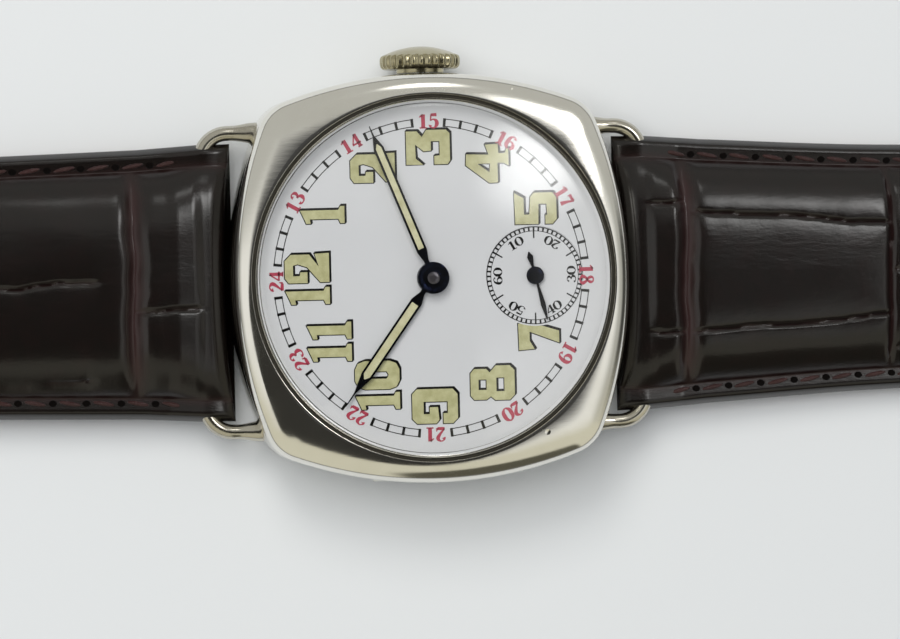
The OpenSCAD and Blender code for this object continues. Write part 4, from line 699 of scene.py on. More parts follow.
bm = bmesh.new()
for side in (-1, 1):
    rod(bm, (HINGE_X, side * 1.55, HINGE_Z), (HINGE_X, side * 4.5, HINGE_Z), KNUCKLE_R)
soften(bm, 0.08, 2)
piece("hinge_knuckles", bm, "case", silver)
bm = bmesh.new()
rod(bm, (HINGE_X, -1.5, HINGE_Z), (HINGE_X, 1.5, HINGE_Z), KNUCKLE_R)
soften(bm, 0.08, 2)
piece("hinge_tongue", bm, "back", silver)

# %% [markdown]
# ## Lugs
# The lugs are bent from one piece of silver wire each and soldered into the case, so they
# are a circle swept along a path of straight legs and round bends.

# %% Wire lugs
BAR_Y, LEG_X, WIRE_R, BEND, LUG_Z = 18.0, 12.025, 0.6, 2.2, 3.1


def sweep(path, radii, segments=20):
    """Skin rings round a path that stays in one plane across Z."""
    rings = []
    for i, p in enumerate(path):
        ahead = path[min(i + 1, len(path) - 1)] - path[max(i - 1, 0)]
        across = Vector((-ahead.y, ahead.x, 0)).normalized()
        rings.append([p + radii[i] * (across * cos(2 * pi * k / segments)
                                      + Vector((0, 0, sin(2 * pi * k / segments))))
                      for k in range(segments)])
    return loft(rings)


def lug_path():
    """The lug's points and radii from foot to foot, thicker where it is soldered."""
    straight = LEG_X - BEND
    leg = [(LEG_X, y) for y in (12.9, 13.9, 14.3, 14.7, 15.1, 15.4, BAR_Y - BEND)]
    bend = [(straight + BEND * cos(radians(a)), BAR_Y - BEND + BEND * sin(radians(a)))
            for a in range(8, 90, 8)]
    half = leg + bend + [(straight, BAR_Y), (straight / 2, BAR_Y)]
    swell = [0.85, 0.82, 0.76, 0.68, 0.62] + [WIRE_R] * (len(half) - 5)
    points = half + [(0, BAR_Y)] + [(-x, y) for x, y in reversed(half)]
    return [Vector((x, y, LUG_Z)) for x, y in points], swell + [WIRE_R] + swell[::-1]


for name, half_turn in (("12", 0), ("6", pi)):
    path_points, radii = lug_path()
    bm = sweep(path_points, radii)
    bmesh.ops.rotate(bm, cent=(0, 0, 0), matrix=Matrix.Rotation(half_turn, 3, "Z"),
                     verts=bm.verts[:])
    piece("wire_lug_" + name, bm, "case", lug_silver, swaps=["lug_wire_" + name])

# %% [markdown]
# ## Crown
# The crown is a turned button with a low dome, fluted so that fingers can wind it. It is
# lofted from rings along the stem, and those of its band are pinched into 30 flutes.

# %% Crown
CROWN_Z, CROWN_FLUTES, FLUTE_DEPTH = 3.5, 30, 0.16
FACE_X, FACE_R, DOME_H, DOME_STEPS = 18.05, 2.94, 0.67, 13
crown_profile = [(16.57, 1.9, 0), (16.87, 1.92, 0), (16.87, 2.3, 0), (16.88, 2.9, 0),
                 (16.95, 3.06, 0.6), (17.06, 3.16, 1), (17.2, 3.22, 1), (17.4, 3.25, 1),
                 (17.65, 3.25, 1), (17.82, 3.22, 1), (17.93, 3.16, 1), (18.0, 3.07, 0.6),
                 (18.03, 3.0, 0.15), (FACE_X, FACE_R, 0)]
for k in range(1, DOME_STEPS + 1):
    r = FACE_R * (1 - k / DOME_STEPS) + 0.02
    crown_profile.append((FACE_X + DOME_H * (1 - (r / FACE_R) ** 2), r, 0))


def crown_ring(x, radius, depth, count=CROWN_FLUTES * 8):
    """A ring about the stem; depth is how far it is pinched, from 0 to 1."""
    ring = []
    for i in range(count):
        a = 2 * pi * i / count
        pinch = depth * FLUTE_DEPTH * (0.5 - 0.5 * cos(a * CROWN_FLUTES)) ** 1.6
        ring.append((x, (radius - pinch) * cos(a), CROWN_Z + (radius - pinch) * sin(a)))
    return ring


piece("crown_button", loft([crown_ring(*p) for p in crown_profile]), "stem", crown_metal,
      swaps=["crown"])

# %% [markdown]
# ## Crystal dome
# The crystal is two shallow spheres with a polished edge that sits in the bezel's groove.
# It is turned from one profile, with points close enough to bend light smoothly.

# %% Crystal
OUTER_R, INNER_R = 61.4, 79.8
TOP, UNDERSIDE_TOP, DOME_EDGE, UNDERSIDE_EDGE, DOME_PARTS = 10.6, 9.6, 14.2, 13.9, 28


def cap(edge, top, sphere, k):
    """Point k of the arc from the axis to the edge of a shallow sphere."""
    r = edge * k / DOME_PARTS
    return r, top - sphere + sqrt(sphere ** 2 - r ** 2)


dome = [cap(DOME_EDGE, TOP, OUTER_R, k) for k in range(DOME_PARTS + 1)]
under = [cap(UNDERSIDE_EDGE, UNDERSIDE_TOP, INNER_R, k) for k in range(DOME_PARTS, -1, -1)]
profile = dome + [(14.24, 8.88), (14.25, 8.6), (14.56, 8.57), (14.57, 8.54), (14.57, 8.13),
                  (14.54, 8.11), (13.9, 8.11)] + under
piece("crystal_dome", turned(profile, 160, closed=False), "case", crystal_glass,
      sharp=50, swaps=["crystal"])

# %% [markdown]
# ## Printing the dial
# The prints are flat shapes a hundredth of a millimetre above the enamel. A texture could
# draw them, but real outlines stay sharp at any distance. A ring or tick is one short
# edge spun about the dial's centre, and a numeral is an outline filled with triangles.

# %% Rings and ticks
DIAL_Z = 7.15
PRINT = 0.012
TICK_PRINT = PRINT * 1.3


def spun_edge(bm, centre, r0, r1, z, start, angle, steps):
    """Sweep the radial edge from r0 to r1 through an angle, measured from 12 clockwise."""
    place = Vector((centre[0], centre[1], z))
    heading = Vector((sin(start), cos(start), 0))
    a, b = bm.verts.new(place + r0 * heading), bm.verts.new(place + r1 * heading)
    edge = bm.edges.new((a, b))
    bmesh.ops.spin(bm, geom=[a, b, edge], cent=place, axis=(0, 0, 1), angle=-angle,
                   steps=steps, use_duplicate=False)


def tick(bm, centre, at, r0, r1, width, z):
    """A radial tick of that width in millimetres, at that angle in degrees."""
    spread = width / ((r0 + r1) / 2)
    spun_edge(bm, centre, r0, r1, z, radians(at) - spread / 2, spread, 2)


def face_up(bm):
    """Merge doubled points and turn every face upwards."""
    bmesh.ops.remove_doubles(bm, verts=bm.verts[:], dist=0.0004)
    for f in bm.faces:
        if f.normal.z < 0:
            f.normal_flip()


bm = bmesh.new()
for hour in range(12):
    first = radians(hour * 30 + 6)
    for r in (12.08, 12.66):
        spun_edge(bm, (0, 0), r, r + 0.07, DIAL_Z + PRINT, first, radians(18), 18)
    for minute in (1, 2, 3, 4):
        tick(bm, (0, 0), hour * 30 + minute * 6, 12.06, 12.76, 0.22, DIAL_Z + TICK_PRINT)
face_up(bm)
piece("minute_track", bm, "case", black_ink)

# %% The small seconds' rings and ticks
SUB, SUB_Z, SUB_CLEAR = (0, -8.3), 6.95, 4.03
bm = bmesh.new()
for r0, r1 in ((3.52, 3.57), (3.83, 3.9)):
    spun_edge(bm, SUB, r0, r1, SUB_Z + PRINT, 0, 2 * pi, 180)
for second in range(60):
    tick(bm, SUB, second * 6, 3.54, 3.86, 0.14, SUB_Z + TICK_PRINT)
for second in range(5, 60, 10):
    tick(bm, SUB, second * 6, 2.97, 3.56, 0.11, SUB_Z + TICK_PRINT)
face_up(bm)
piece("seconds_track", bm, "case", black_ink)

# %% [markdown]
# ## Small numerals
# The red 13 to 24 and the seconds are printed with a pen-like letter: thick downstrokes,
# thin joins, small feet. Each digit is a few strokes, and a stroke is an edge drawn along
# a smooth path while its length changes.

# %% Pen strokes
STROKES = {
    "0": [[(.06, .5, .17), (.1, .78, .14), (.3, .965, .06), (.5, .78, .14), (.54, .5, .17),
           (.5, .22, .14), (.3, .035, .06), (.1, .22, .14), (.06, .5, .17)]],
    "1": [[(.32, .04, .16), (.32, .96, .16)], [(.1, .03, .06), (.54, .03, .06)],
          [(.08, .76, .04), (.18, .84, .07), (.3, .96, .07)]],
    "2": [[(.13, .7, .17), (.1, .83, .08), (.28, .96, .06), (.47, .84, .14),
           (.47, .66, .15), (.3, .38, .1), (.08, .1, .05)],
          [(.07, .08, .13), (.3, .09, .15), (.52, .07, .12)], [(.53, .05, .1), (.57, .3, .03)]],
    "3": [[(.14, .76, .15), (.14, .9, .07), (.29, .965, .06), (.45, .82, .14),
           (.42, .62, .11), (.26, .53, .05)],
          [(.26, .53, .05), (.46, .44, .12), (.5, .25, .16), (.4, .07, .08),
           (.25, .035, .06), (.1, .1, .08), (.1, .23, .15)]],
    "4": [[(.42, .03, .14), (.42, .96, .14)], [(.4, .96, .06), (.04, .32, .06)],
          [(.01, .3, .08), (.58, .3, .08)], [(.27, .03, .06), (.57, .03, .06)]],
    "5": [[(.14, .92, .13), (.5, .93, .15)], [(.15, .95, .06), (.12, .52, .06)],
          [(.12, .53, .05), (.3, .61, .07), (.48, .5, .14), (.5, .26, .16), (.38, .06, .08),
           (.22, .035, .06), (.09, .12, .08), (.1, .22, .15)]],
    "6": [[(.47, .8, .15), (.44, .92, .07), (.32, .965, .06), (.16, .82, .12),
           (.08, .5, .16), (.11, .2, .15), (.3, .035, .06), (.49, .18, .14),
           (.5, .4, .14), (.32, .58, .06), (.13, .46, .06)]],
    "7": [[(.08, .9, .15), (.3, .89, .13), (.52, .93, .12)],
          [(.52, .93, .07), (.36, .5, .11), (.25, .03, .18)], [(.07, .98, .04), (.07, .72, .04)]],
    "8": [[(.15, .75, .12), (.18, .92, .08), (.3, .97, .06), (.42, .92, .08),
           (.45, .75, .12), (.3, .53, .09), (.15, .75, .12)],
          [(.09, .26, .14), (.3, .53, .09), (.51, .26, .14), (.43, .08, .09),
           (.3, .03, .06), (.17, .08, .09), (.09, .26, .14)]],
}
STROKES["9"] = [[(.6 - x, 1 - y, w) for x, y, w in stroke] for stroke in STROKES["6"]]


def smooth_path(points, parts=5):
    """A smooth curve through the points, of x, y and width; a closed one has no corner."""
    if len(points) < 3:
        return [Vector(p) for p in points]
    closed = points[0] == points[-1]
    before, after = (points[-2], points[1]) if closed else (points[0], points[-1])
    p = [Vector(q) for q in (before, *points, after)]
    path = []
    for i in range(1, len(p) - 2):
        for k in range(parts):
            t = k / parts
            path.append(0.5 * (2 * p[i] + (p[i + 1] - p[i - 1]) * t
                               + (2 * p[i - 1] - 5 * p[i] + 4 * p[i + 1] - p[i + 2]) * t * t
                               + (3 * p[i] - p[i - 1] - 3 * p[i + 1] + p[i + 2]) * t ** 3))
    return path + [p[-2]]


def draw_digit(bm, digit, corner, size, turn, centre, z, weight=1.0, wide=1.0):
    """Draw a digit whose lower left corner is at corner, then turn it and set it at centre."""
    for stroke in STROKES[digit]:
        path = smooth_path(stroke)
        sides = []
        for i, p in enumerate(path):
            ahead = path[min(i + 1, len(path) - 1)] - path[max(i - 1, 0)]
            across = Vector((-ahead.y, ahead.x)).normalized() * p.z * weight / 2
            pair = []
            for way in (1, -1):
                x = corner[0] + (p.x + way * across.x) * size * wide
                y = corner[1] + (p.y + way * across.y) * size
                pair.append((centre[0] + x * cos(turn) - y * sin(turn),
                             centre[1] + x * sin(turn) + y * cos(turn), z))
            sides.append(pair)
        half = len(sides) // 2
        for run in (sides[:half + 1], sides[half:]):
            edges = []
            for k in (0, 1):
                verts = [bm.verts.new(pair[k]) for pair in run]
                edges += [bm.edges.new(pair) for pair in zip(verts, verts[1:])]
            if edges:
                bmesh.ops.bridge_loops(bm, edges=edges)


def draw_number(bm, text, size, turn, centre, z, weight=1.0, wide=1.0, pitch=0.66):
    """Digits side by side, centred on their place."""
    total = (0.6 + pitch * (len(text) - 1)) * size * wide
    for i, digit in enumerate(text):
        corner = (i * pitch * size * wide - total / 2, -size / 2)
        draw_digit(bm, digit, corner, size, turn, centre, z, weight, wide)


# %% Red hours and the seconds
bm = bmesh.new()
for hour in range(12):
    a = radians(hour * 30)
    place = (12.5 * sin(a), 12.5 * cos(a))
    draw_number(bm, str(hour + 12 if hour else 24), 1.16, -a, place, DIAL_Z + PRINT,
                weight=1.5, wide=1.12)
face_up(bm)
piece("afternoon_numerals", bm, "case", red_ink)

bm = bmesh.new()
for second in range(10, 70, 10):
    a = radians(second * 6)
    place = (SUB[0] + 2.98 * sin(a), SUB[1] + 2.98 * cos(a))
    upright = pi if second in (20, 30, 40) else 0
    draw_number(bm, str(second), 0.74, upright - a, place, SUB_Z + PRINT, weight=1.15,
                wide=1.45, pitch=0.62)
face_up(bm)
piece("seconds_numerals", bm, "case", black_ink)

# %% [markdown]
# ## Luminous hour numerals
# The big numerals were printed as black outlines with a dark shade to their right and
# below, then filled by hand with luminous paint. Each outline is a polygon measured in
# millimetres. Moving it outwards gives the black line, moving that again down and right
# gives the shade, and the fill is raised a little, as dried paint is.

# %% Numeral outlines
GLYPHS = {
    "0": [[(0.7, 0), (1.6, 0), (2.1, 0.25), (2.3, 0.8), (2.3, 2.8), (2.1, 3.35), (1.6, 3.6),
           (0.7, 3.6), (0.2, 3.35), (0, 2.8), (0, 0.8), (0.2, 0.25)],
          [(0.88, 1.05), (1.15, 0.9), (1.42, 1.05), (1.42, 2.55), (1.15, 2.7), (0.88, 2.55)]],
    "1": [[(0, 0), (1.4, 0), (1.4, 0.36), (1.1, 0.52), (1.1, 3.6), (0.35, 3.25), (0, 3.1),
           (0, 2.72), (0.35, 2.78), (0.35, 0.52), (0, 0.36)]],
    "2": [[(0.1, 1.75), (0.1, 3.3), (0.5, 3.6), (1.9, 3.6), (2.4, 3.1), (2.4, 1.6),
           (1.4, 0.85), (2.45, 1.2), (2.5, 0), (0.15, 0), (0.15, 0.75), (1.35, 1.8),
           (1.6, 2.55), (1.5, 2.9), (0.7, 2.9), (0.7, 2.4), (1.0, 2.35), (1.0, 1.75)]],
    "3": [[(0.05, 3.55), (2.75, 3.55), (2.75, 2.65), (2.3, 2.25), (2.85, 1.9), (2.85, 0.3),
           (2.55, 0), (0.35, 0), (0.05, 0.2), (0.05, 1.3), (0.75, 1.3), (0.8, 0.86),
           (1.9, 0.86), (1.9, 1.52), (1.15, 1.52), (1.1, 2.13), (1.64, 2.8), (0.55, 2.75),
           (0.04, 2.15)]],
    "4": [[(1.48, 3.5), (2.4, 3.45), (2.35, 1.65), (3.15, 1.93), (3.2, 0.86), (2.46, 0.8),
           (2.46, 0.33), (2.8, 0.2), (2.8, 0), (1.4, 0), (1.64, 0.4), (1.64, 0.9),
           (0.08, 0.9), (0.04, 1.6)],
          [(1.6, 2.5), (1.6, 1.52), (0.95, 1.6)]],
    "5": [[(0, 3.4), (2.55, 3.45), (2.1, 2.65), (0.8, 2.65), (0.8, 2.25), (2.2, 2.15),
           (2.55, 1.85), (2.55, 0.3), (2.1, 0), (0.4, 0), (0, 0.35), (0, 0.95),
           (0.75, 0.95), (0.75, 0.8), (1.6, 0.85), (1.6, 1.45), (0, 1.5)]],
    "7": [[(0.04, 3.4), (2.2, 3.45), (2.27, 2.6), (2.0, 1.5), (1.57, 0.1), (0.57, 0.1),
           (1.5, 2.5), (0.8, 2.5), (0.13, 2.1)]],
    "8": [[(0.4, 0), (2.4, 0), (2.8, 0.4), (2.8, 1.55), (2.27, 2.03), (2.55, 2.3),
           (2.55, 3.3), (2.2, 3.6), (0.4, 3.6), (0.05, 3.3), (0.05, 2.3), (0.3, 1.95),
           (0, 1.6), (0, 0.4)],
          [(0.87, 2.31), (1.66, 2.31), (1.66, 2.92), (0.87, 2.92)],
          [(0.74, 0.87), (1.79, 0.87), (1.79, 1.48), (0.74, 1.48)]],
    "9": [[(0.4, 0), (2.35, 0), (2.8, 0.4), (2.8, 3.3), (2.4, 3.7), (0.4, 3.7), (0, 3.3),
           (0, 1.75), (0.3, 1.5), (1.35, 1.6), (1.35, 2.3), (0.8, 2.3), (0.8, 2.75),
           (1.75, 2.75), (1.75, 0.85), (0.85, 0.85), (0.85, 1.2), (0, 1.2), (0, 0.4)]],
}
HOUR_PLACES = {"12": (0.16, 10.01), "1": (5.20, 8.68), "2": (8.80, 4.56), "3": (10.38, 0.1),
               "4": (8.98, -4.61), "5": (5.35, -8.39), "7": (-4.87, -8.46),
               "8": (-8.48, -4.67), "9": (-10.22, -0.04), "10": (-8.42, 4.59),
               "11": (-4.87, 8.36)}
ADVANCE = {"12": 1.6, "11": 1.77, "10": 1.6}


def offset(loop, amount):
    """Move a closed outline to the right of its direction by amount, with mitred corners."""
    moved = []
    for i, p in enumerate(loop):
        a, b = Vector(loop[i - 1]), Vector(loop[(i + 1) % len(loop)])
        p = Vector(p)
        before, after = (p - a).normalized(), (b - p).normalized()
        n0, n1 = Vector((before.y, -before.x)), Vector((after.y, -after.x))
        lean = max(1 + n0.dot(n1), 0.45)
        moved.append(p + (n0 + n1) * amount / lean)
    return moved


def area(loop):
    """The area inside, positive where the outline runs anticlockwise."""
    return sum(a[0] * b[1] - b[0] * a[1] for a, b in zip(loop, loop[1:] + loop[:1])) / 2


def clear_of_seconds(loop):
    """Fine points along the outline, pushed out of the small seconds dial."""
    points = []
    for a, b in zip(loop, loop[1:] + loop[:1]):
        a, b = Vector(a), Vector(b)
        steps = max(1, floor((b - a).length / 0.12))
        points += [a + (b - a) * k / steps for k in range(steps)]
    for p in points:
        out = Vector((p.x - SUB[0], p.y - SUB[1]))
        if out.length < SUB_CLEAR:
            out = out.normalized() * SUB_CLEAR
            p.x, p.y = SUB[0] + out.x, SUB[1] + out.y
    return points


def fill(bm, loops, z):
    """Fill an outline and its holes with triangles at height z; returns the faces."""
    edges = []
    for loop in loops:
        verts = [bm.verts.new((p[0], p[1], z)) for p in loop]
        edges += [bm.edges.new(pair) for pair in zip(verts, verts[1:] + verts[:1])]
    filled = bmesh.ops.triangle_fill(bm, use_beauty=True, use_dissolve=False, edges=edges)
    faces = [g for g in filled["geom"] if isinstance(g, bmesh.types.BMFace)]
    for f in faces:
        if f.normal.z < 0:
            f.normal_flip()
    return faces


def number_loops(text):
    """The outlines of one hour's digits, set at their place on the dial."""
    width = sum(max(p[0] for p in GLYPHS[d][0]) for d in text[-1]) + ADVANCE.get(text, 0)
    out = []
    for i, digit in enumerate(text):
        shift = Vector((HOUR_PLACES[text][0] - width / 2 + i * ADVANCE.get(text, 0),
                        HOUR_PLACES[text][1] - 1.8))
        loops = []
        for k, loop in enumerate(GLYPHS[digit]):
            loop = [Vector(p) + shift for p in loop]
            turns_left = area(loop) > 0
            loops.append(loop if turns_left == (k == 0) else loop[::-1])
        out.append(loops)
    return out


# %% Lume and its outline
LINE, SHADE, FILL_GAP, FILL_H = 0.055, 0.11, 0.02, 0.05
ink, paint = bmesh.new(), bmesh.new()
for text in HOUR_PLACES:
    for loops in number_loops(text):
        for k, level in ((2, 0.7), (1, 0.85), (0, 1.0)):
            shift = Vector((SHADE, -SHADE)) * k / 2
            grown = [[p + shift for p in offset(loop, LINE)] for loop in loops]
            if text in "57":
                grown = [clear_of_seconds(loop) for loop in grown]
            fill(ink, grown, DIAL_Z + PRINT * level)
        inner = [offset(loop, -FILL_GAP) for loop in loops]
        if text in "57":
            inner = [clear_of_seconds(loop) for loop in inner]
        faces = fill(paint, inner, DIAL_Z + PRINT * 1.1)
        raised = bmesh.ops.extrude_face_region(paint, geom=faces)["geom"]
        bmesh.ops.translate(paint, vec=(0, 0, FILL_H),
                            verts=[g for g in raised if isinstance(g, bmesh.types.BMVert)])
piece("numeral_outlines", ink, "case", black_ink)
piece("luminous_numerals", paint, "case", lume)

# %% [markdown]
# ## Hubs of the hands
# The blued hands come from the CAD model. Their hubs get a turned collar with a sunken
# ring and a dull rivet, and the seconds hand a domed boss.

# %% Hubs
collar = [(0.5, 8.015), (1.26, 8.015), (1.27, 8.03), (1.26, 8.07), (1.22, 8.09),
          (1.06, 8.09), (1.0, 8.07), (0.94, 8.045), (0.7, 8.045), (0.6, 8.06), (0.5, 8.07)]
piece("minute_collar", turned(collar, 96), "centre", blued, sharp=60)
rivet = [(0, 8.075), (0.5, 8.075), (0.5, 8.12), (0.46, 8.16), (0.36, 8.19), (0.2, 8.205),
         (0, 8.21)]
piece("centre_rivet", turned(rivet, 48), "centre", riveted, sharp=60)
boss = [(0.16, 7.305), (0.68, 7.305), (0.71, 7.32), (0.68, 7.36), (0.55, 7.4),
        (0.35, 7.425), (0, 7.435), (0, 7.39), (0.16, 7.39)]
piece("seconds_boss", turned(boss, 64, centre=(SUB[0], SUB[1], 0)), "fourth", blued,
      sharp=60)

# %% [markdown]
# ## Padded crocodile strap
# Each half is a folded pad: a stuffed crown under the skin, a thin stitched rim, and a flat
# calf lining, which is a piece of its own. The pad is one mesh, lofted from many
# cross-sections like the CAD solid. The skin's height falls into the valleys between the
# scales, and the same depth is kept as an attribute for the colour. Cloth simulation
# would smooth those scales away, so the pad is shaped directly.

# %% Strap sizes
STRAP_BASE, LOOP_R, RIM_H, LINING = -2.15, 1.6, 2.3, 0.8
LENGTH_12, LENGTH_6, TIP = 75, 115, 11
LUG_W, BUCKLE_W, TIP_W = 22, 18, 17
PAD, END_PAD = 4.4, 2.6
PAD_START = 1.75


def pad_height(s, length, groove):
    """Height of the crown above the strap's base, at s along it from the lug bar."""
    return lookup(s, [(0, 3.84), (0.8, 4.15), (2.2, 4.36), (groove - 1.4, PAD),
                      (length * 0.15, PAD * 0.95), (length * 0.45, (PAD + END_PAD) / 2 + 0.2),
                      (length * 0.85, END_PAD), (length, END_PAD)])


def flare(s):
    """The leather spreads a little where it is folded round the lug bar."""
    return 0.18 * max(0, 1 - s / 5)


def ease(x):
    x = min(max(x, 0), 1)
    return x * x * (3 - 2 * x)


def half_12(s):
    """Half the width of the buckle half: an even taper, flared at the lug."""
    return (LUG_W + (BUCKLE_W - LUG_W) * s / LENGTH_12) / 2 + flare(s)


def half_6(s):
    """Half the width of the holed half, with a slight waist and a rounded tip."""
    body = LENGTH_6 - TIP
    straight = (LUG_W + (TIP_W - LUG_W) * min(s, body) / body) / 2
    waist = 0.45 * ease(s / 20) * (1 - ease((s - 35) / 55))
    u = max(s - body, 0) / TIP
    return (straight - waist) * sqrt(max(1 - u ** 2.4, 0.02)) + flare(s)


def base_6(s):
    """The underside of the holed half, which sinks 0.9 mm as it leaves the lug."""
    return STRAP_BASE - 0.9 * min(max((s - 3) / 24, 0), 1)


# A row of scales starts at its number of millimetres along the strap. Each of its valleys
# runs lengthwise, from one place across the strap to another, and begins so much later.
strap_12 = {"length": LENGTH_12, "half": half_12, "base": lambda s: STRAP_BASE, "groove": 5.5,
            "rows": [(0, [(-2.2, -2.2, 0)]),
                     (5.7, [(0.4, -0.2, 2.6), (-7.6, -8.0, 3)]),
                     (18.5, [(3.4, 3.0, 0), (-3.2, -3.6, 0)]),
                     (29.5, [(0.6, 0.2, 0), (6.2, 6.6, 0)]),
                     (40, [(-3.4, -3.0, 0), (3.2, 3.4, 0)]),
                     (50, [(0.2, -0.3, 0)]), (59, [(2.6, 2.2, 0), (-3.4, -3.2, 0)]),
                     (67, [(-0.4, 0, 0)])]}
strap_6 = {"length": LENGTH_6, "half": half_6, "base": base_6, "groove": 3.4,
           "rows": [(0, [(4.75, 4.75, 0), (-5.6, -5.6, 0)]),
                    (3.4, [(4.9, 3.9, 0), (-4.75, -3.8, 0)]),
                    (20.5, [(0.4, 0, 0), (6.6, 6.4, 0)]),
                    (31.5, [(-3.6, -3.2, 0), (3.8, 3.2, 0)]),
                    (42, [(0.3, 0.6, 0)]), (52, [(3.6, 3.2, 0), (-2.8, -3.2, 0)]),
                    (61.5, [(-0.2, 0.2, 0)]), (70.5, [(3, 2.6, 0), (-3, -3.2, 0)]),
                    (79, [(0.3, -0.2, 0)]), (87.5, [(2.4, 2.2, 0), (-2.8, -2.4, 0)]),
                    (96, [(0, 0.2, 0)]), (104, [(2, 1.6, 0)])]}
print("rows of scales:", len(strap_12["rows"]), "and", len(strap_6["rows"]))


# %% Scales and valleys
def rumple(x, y, size, seed):
    """Smooth noise between about -1 and 1 whose bumps are size millimetres apart."""
    return noise.noise(Vector((x / size, y / size, seed * 7.3)))


def valley_at(strap, s, t):
    """How deep in a valley the skin is at (s, t), from 0 to 1, and how far the nearest one is."""
    rows = strap["rows"]
    k = max(i for i, row in enumerate(rows) if row[0] <= s or i == 0)
    keep = 1.0
    nearest = 9.0
    for i in (k, k + 1):
        if 0 < i < len(rows):
            line = rows[i][0] + 0.4 * rumple(t, i, 6, 3) + 0.1 * rumple(t, i, 1.6, 5)
            width = 0.62 if i == 1 else 0.2
            d = abs(s - line)
            keep *= 1 - (0.8 if i == 1 else 0.5) * exp(-(d / width) ** 2)
            nearest = min(nearest, d)
    start = rows[k][0]
    end = rows[k + 1][0] if k + 1 < len(rows) else strap["length"]
    for t0, t1, late in rows[k][1]:
        u = (s - start) / (end - start)
        line = t0 + (t1 - t0) * u + 0.28 * rumple(s, t0, 4, 8) + 0.1 * rumple(s, t0, 1.3, 9)
        d = abs(t - line)
        fade = min(max((s - start - late) / 0.8, 0), 1)
        keep *= 1 - 0.3 * fade * exp(-(d / 0.13) ** 2)
        nearest = min(nearest, d + 3 * (1 - fade))
    return 1 - keep, nearest


def strap_top(strap, s, t):
    """Height of the skin above the lug bar and its valley value."""
    half = strap["half"](s)
    slope = (strap["half"](min(s + 0.05, strap["length"])) - half) / 0.05
    d = (half - abs(t)) / sqrt(1 + slope * slope)
    base = strap["base"](s)
    crown = pad_height(s, strap["length"], strap["groove"])
    rim = RIM_H + 0.6 * max(0, 1 - s / 3)
    rim = min(rim, crown - 0.05)
    if d < PAD_START:
        h = rim - 0.95 * (1 - sin(pi / 2 * min(d / 0.6, 1))) ** 0.8 - 0.1 * max(0, d - 0.6)
        share = 0
    else:
        share = 1 - exp(-(d - PAD_START) / 1.75)
        h = rim - 0.12 + (crown - rim + 0.12) * share
    valley, nearest = valley_at(strap, s, t)
    soft = min(share * 1.4, 1)
    deep = min(crown - 1.6, 0.75)
    h += soft * (0.1 * (1 - exp(-nearest / 0.9)) - valley * deep)
    h += soft * 0.09 * rumple(s * 1.6, t * 0.4, 0.7, 11) * valley
    h += 0.04 * rumple(s, t, 4.5, 13) * soft
    tint = valley * soft + (0.35 * exp(-((d - PAD_START) / 0.35) ** 2) if d > 1 else 0)
    return base + h, min(tint, 1)


def underside(strap, s):
    """The lower face: round the lug bar first, then above the lining."""
    base = strap["base"](s)
    if s < 2.2:
        return -LOOP_R + (STRAP_BASE + LOOP_R) * s / 2.2
    return base + LINING + 0.03 if 3 < s < strap["lined_to"] else base


def cross_section(strap, s):
    """One closed ring round the strap at s: skin, edges and underside, with valley values."""
    half = strap["half"](s)
    scale = min(1, half / 8)
    edge = [0.02, 0.08, 0.18, 0.3, 0.45, 0.6, 0.9, 1.2, 1.5, 1.68, 1.75, 1.82, 1.95, 2.1,
            2.3, 2.6, 3.0]
    inner = [3.0 + (half / scale - 3.0) * k / 46 for k in range(1, 47)]
    ds = [d * scale for d in edge + inner]
    ts = [half - d for d in ds] + [d - half for d in reversed(ds[:-1])]
    ring, tints = [], []
    for t in ts:
        z, tint = strap_top(strap, s, t)
        ring.append((t, s, z))
        tints.append(tint)
    low = underside(strap, s)
    rise = ring[0][2] - low
    for x, z in ((half, 0.65), (half - 0.05, 0.25), (half - 0.25, 0), (half * 0.5, 0)):
        ring.append((-x, s, low + rise * z))
    ring.append((0, s, low))
    for x, z in ((half * 0.5, 0), (half - 0.25, 0), (half - 0.05, 0.25), (half, 0.65)):
        ring.append((x, s, low + rise * z))
    return ring, tints + [0] * 9


def strap_rings(strap):
    """Rings from the fold round the lug bar to the tail, with their valley values."""
    stations = []
    s = 0.0
    while s < strap["rings_to"]:
        stations.append(s)
        s += 0.2 if s < 24 else 0.3
    stations.append(strap["rings_to"])
    made = [cross_section(strap, s) for s in stations]
    fold, tints = made[0]
    nose = [([(x, -(LOOP_R + 0.12 + 0.65 * (x / 11) ** 2) * cos(radians(a)) ** 0.9,
               z * sin(radians(a)) ** 0.85) for x, y, z in fold], tints)
            for a in (4, 10, 20, 32, 45, 58, 70, 80)]
    return nose + made


strap_12.update(lined_to=68.9, rings_to=72.5)
strap_6.update(lined_to=114, rings_to=LENGTH_6 - 0.02)
print("each ring of the strap:", len(cross_section(strap_12, 5)[0]), "points")


# %% Cutting holes and slots
def carve(target, cutter):
    """Cut a bmesh in millimetres out of a finished piece, and keep the result as its mesh."""
    bmesh.ops.scale(cutter, vec=(MM, MM, MM), verts=cutter.verts[:])
    mesh = bpy.data.meshes.new("cutter")
    cutter.to_mesh(mesh)
    cutter.free()
    tool = bpy.data.objects.new("cutter", mesh)
    bpy.context.scene.collection.objects.link(tool)
    cut = target.modifiers.new("cut", "BOOLEAN")
    cut.operation, cut.solver, cut.object = "DIFFERENCE", "EXACT", tool
    graph = bpy.context.evaluated_depsgraph_get()
    carved = bpy.data.meshes.new_from_object(target.evaluated_get(graph))
    target.modifiers.clear()
    target.data = carved
    bpy.data.objects.remove(tool)
    print(target.name, "carved:", len(carved.polygons), "faces")


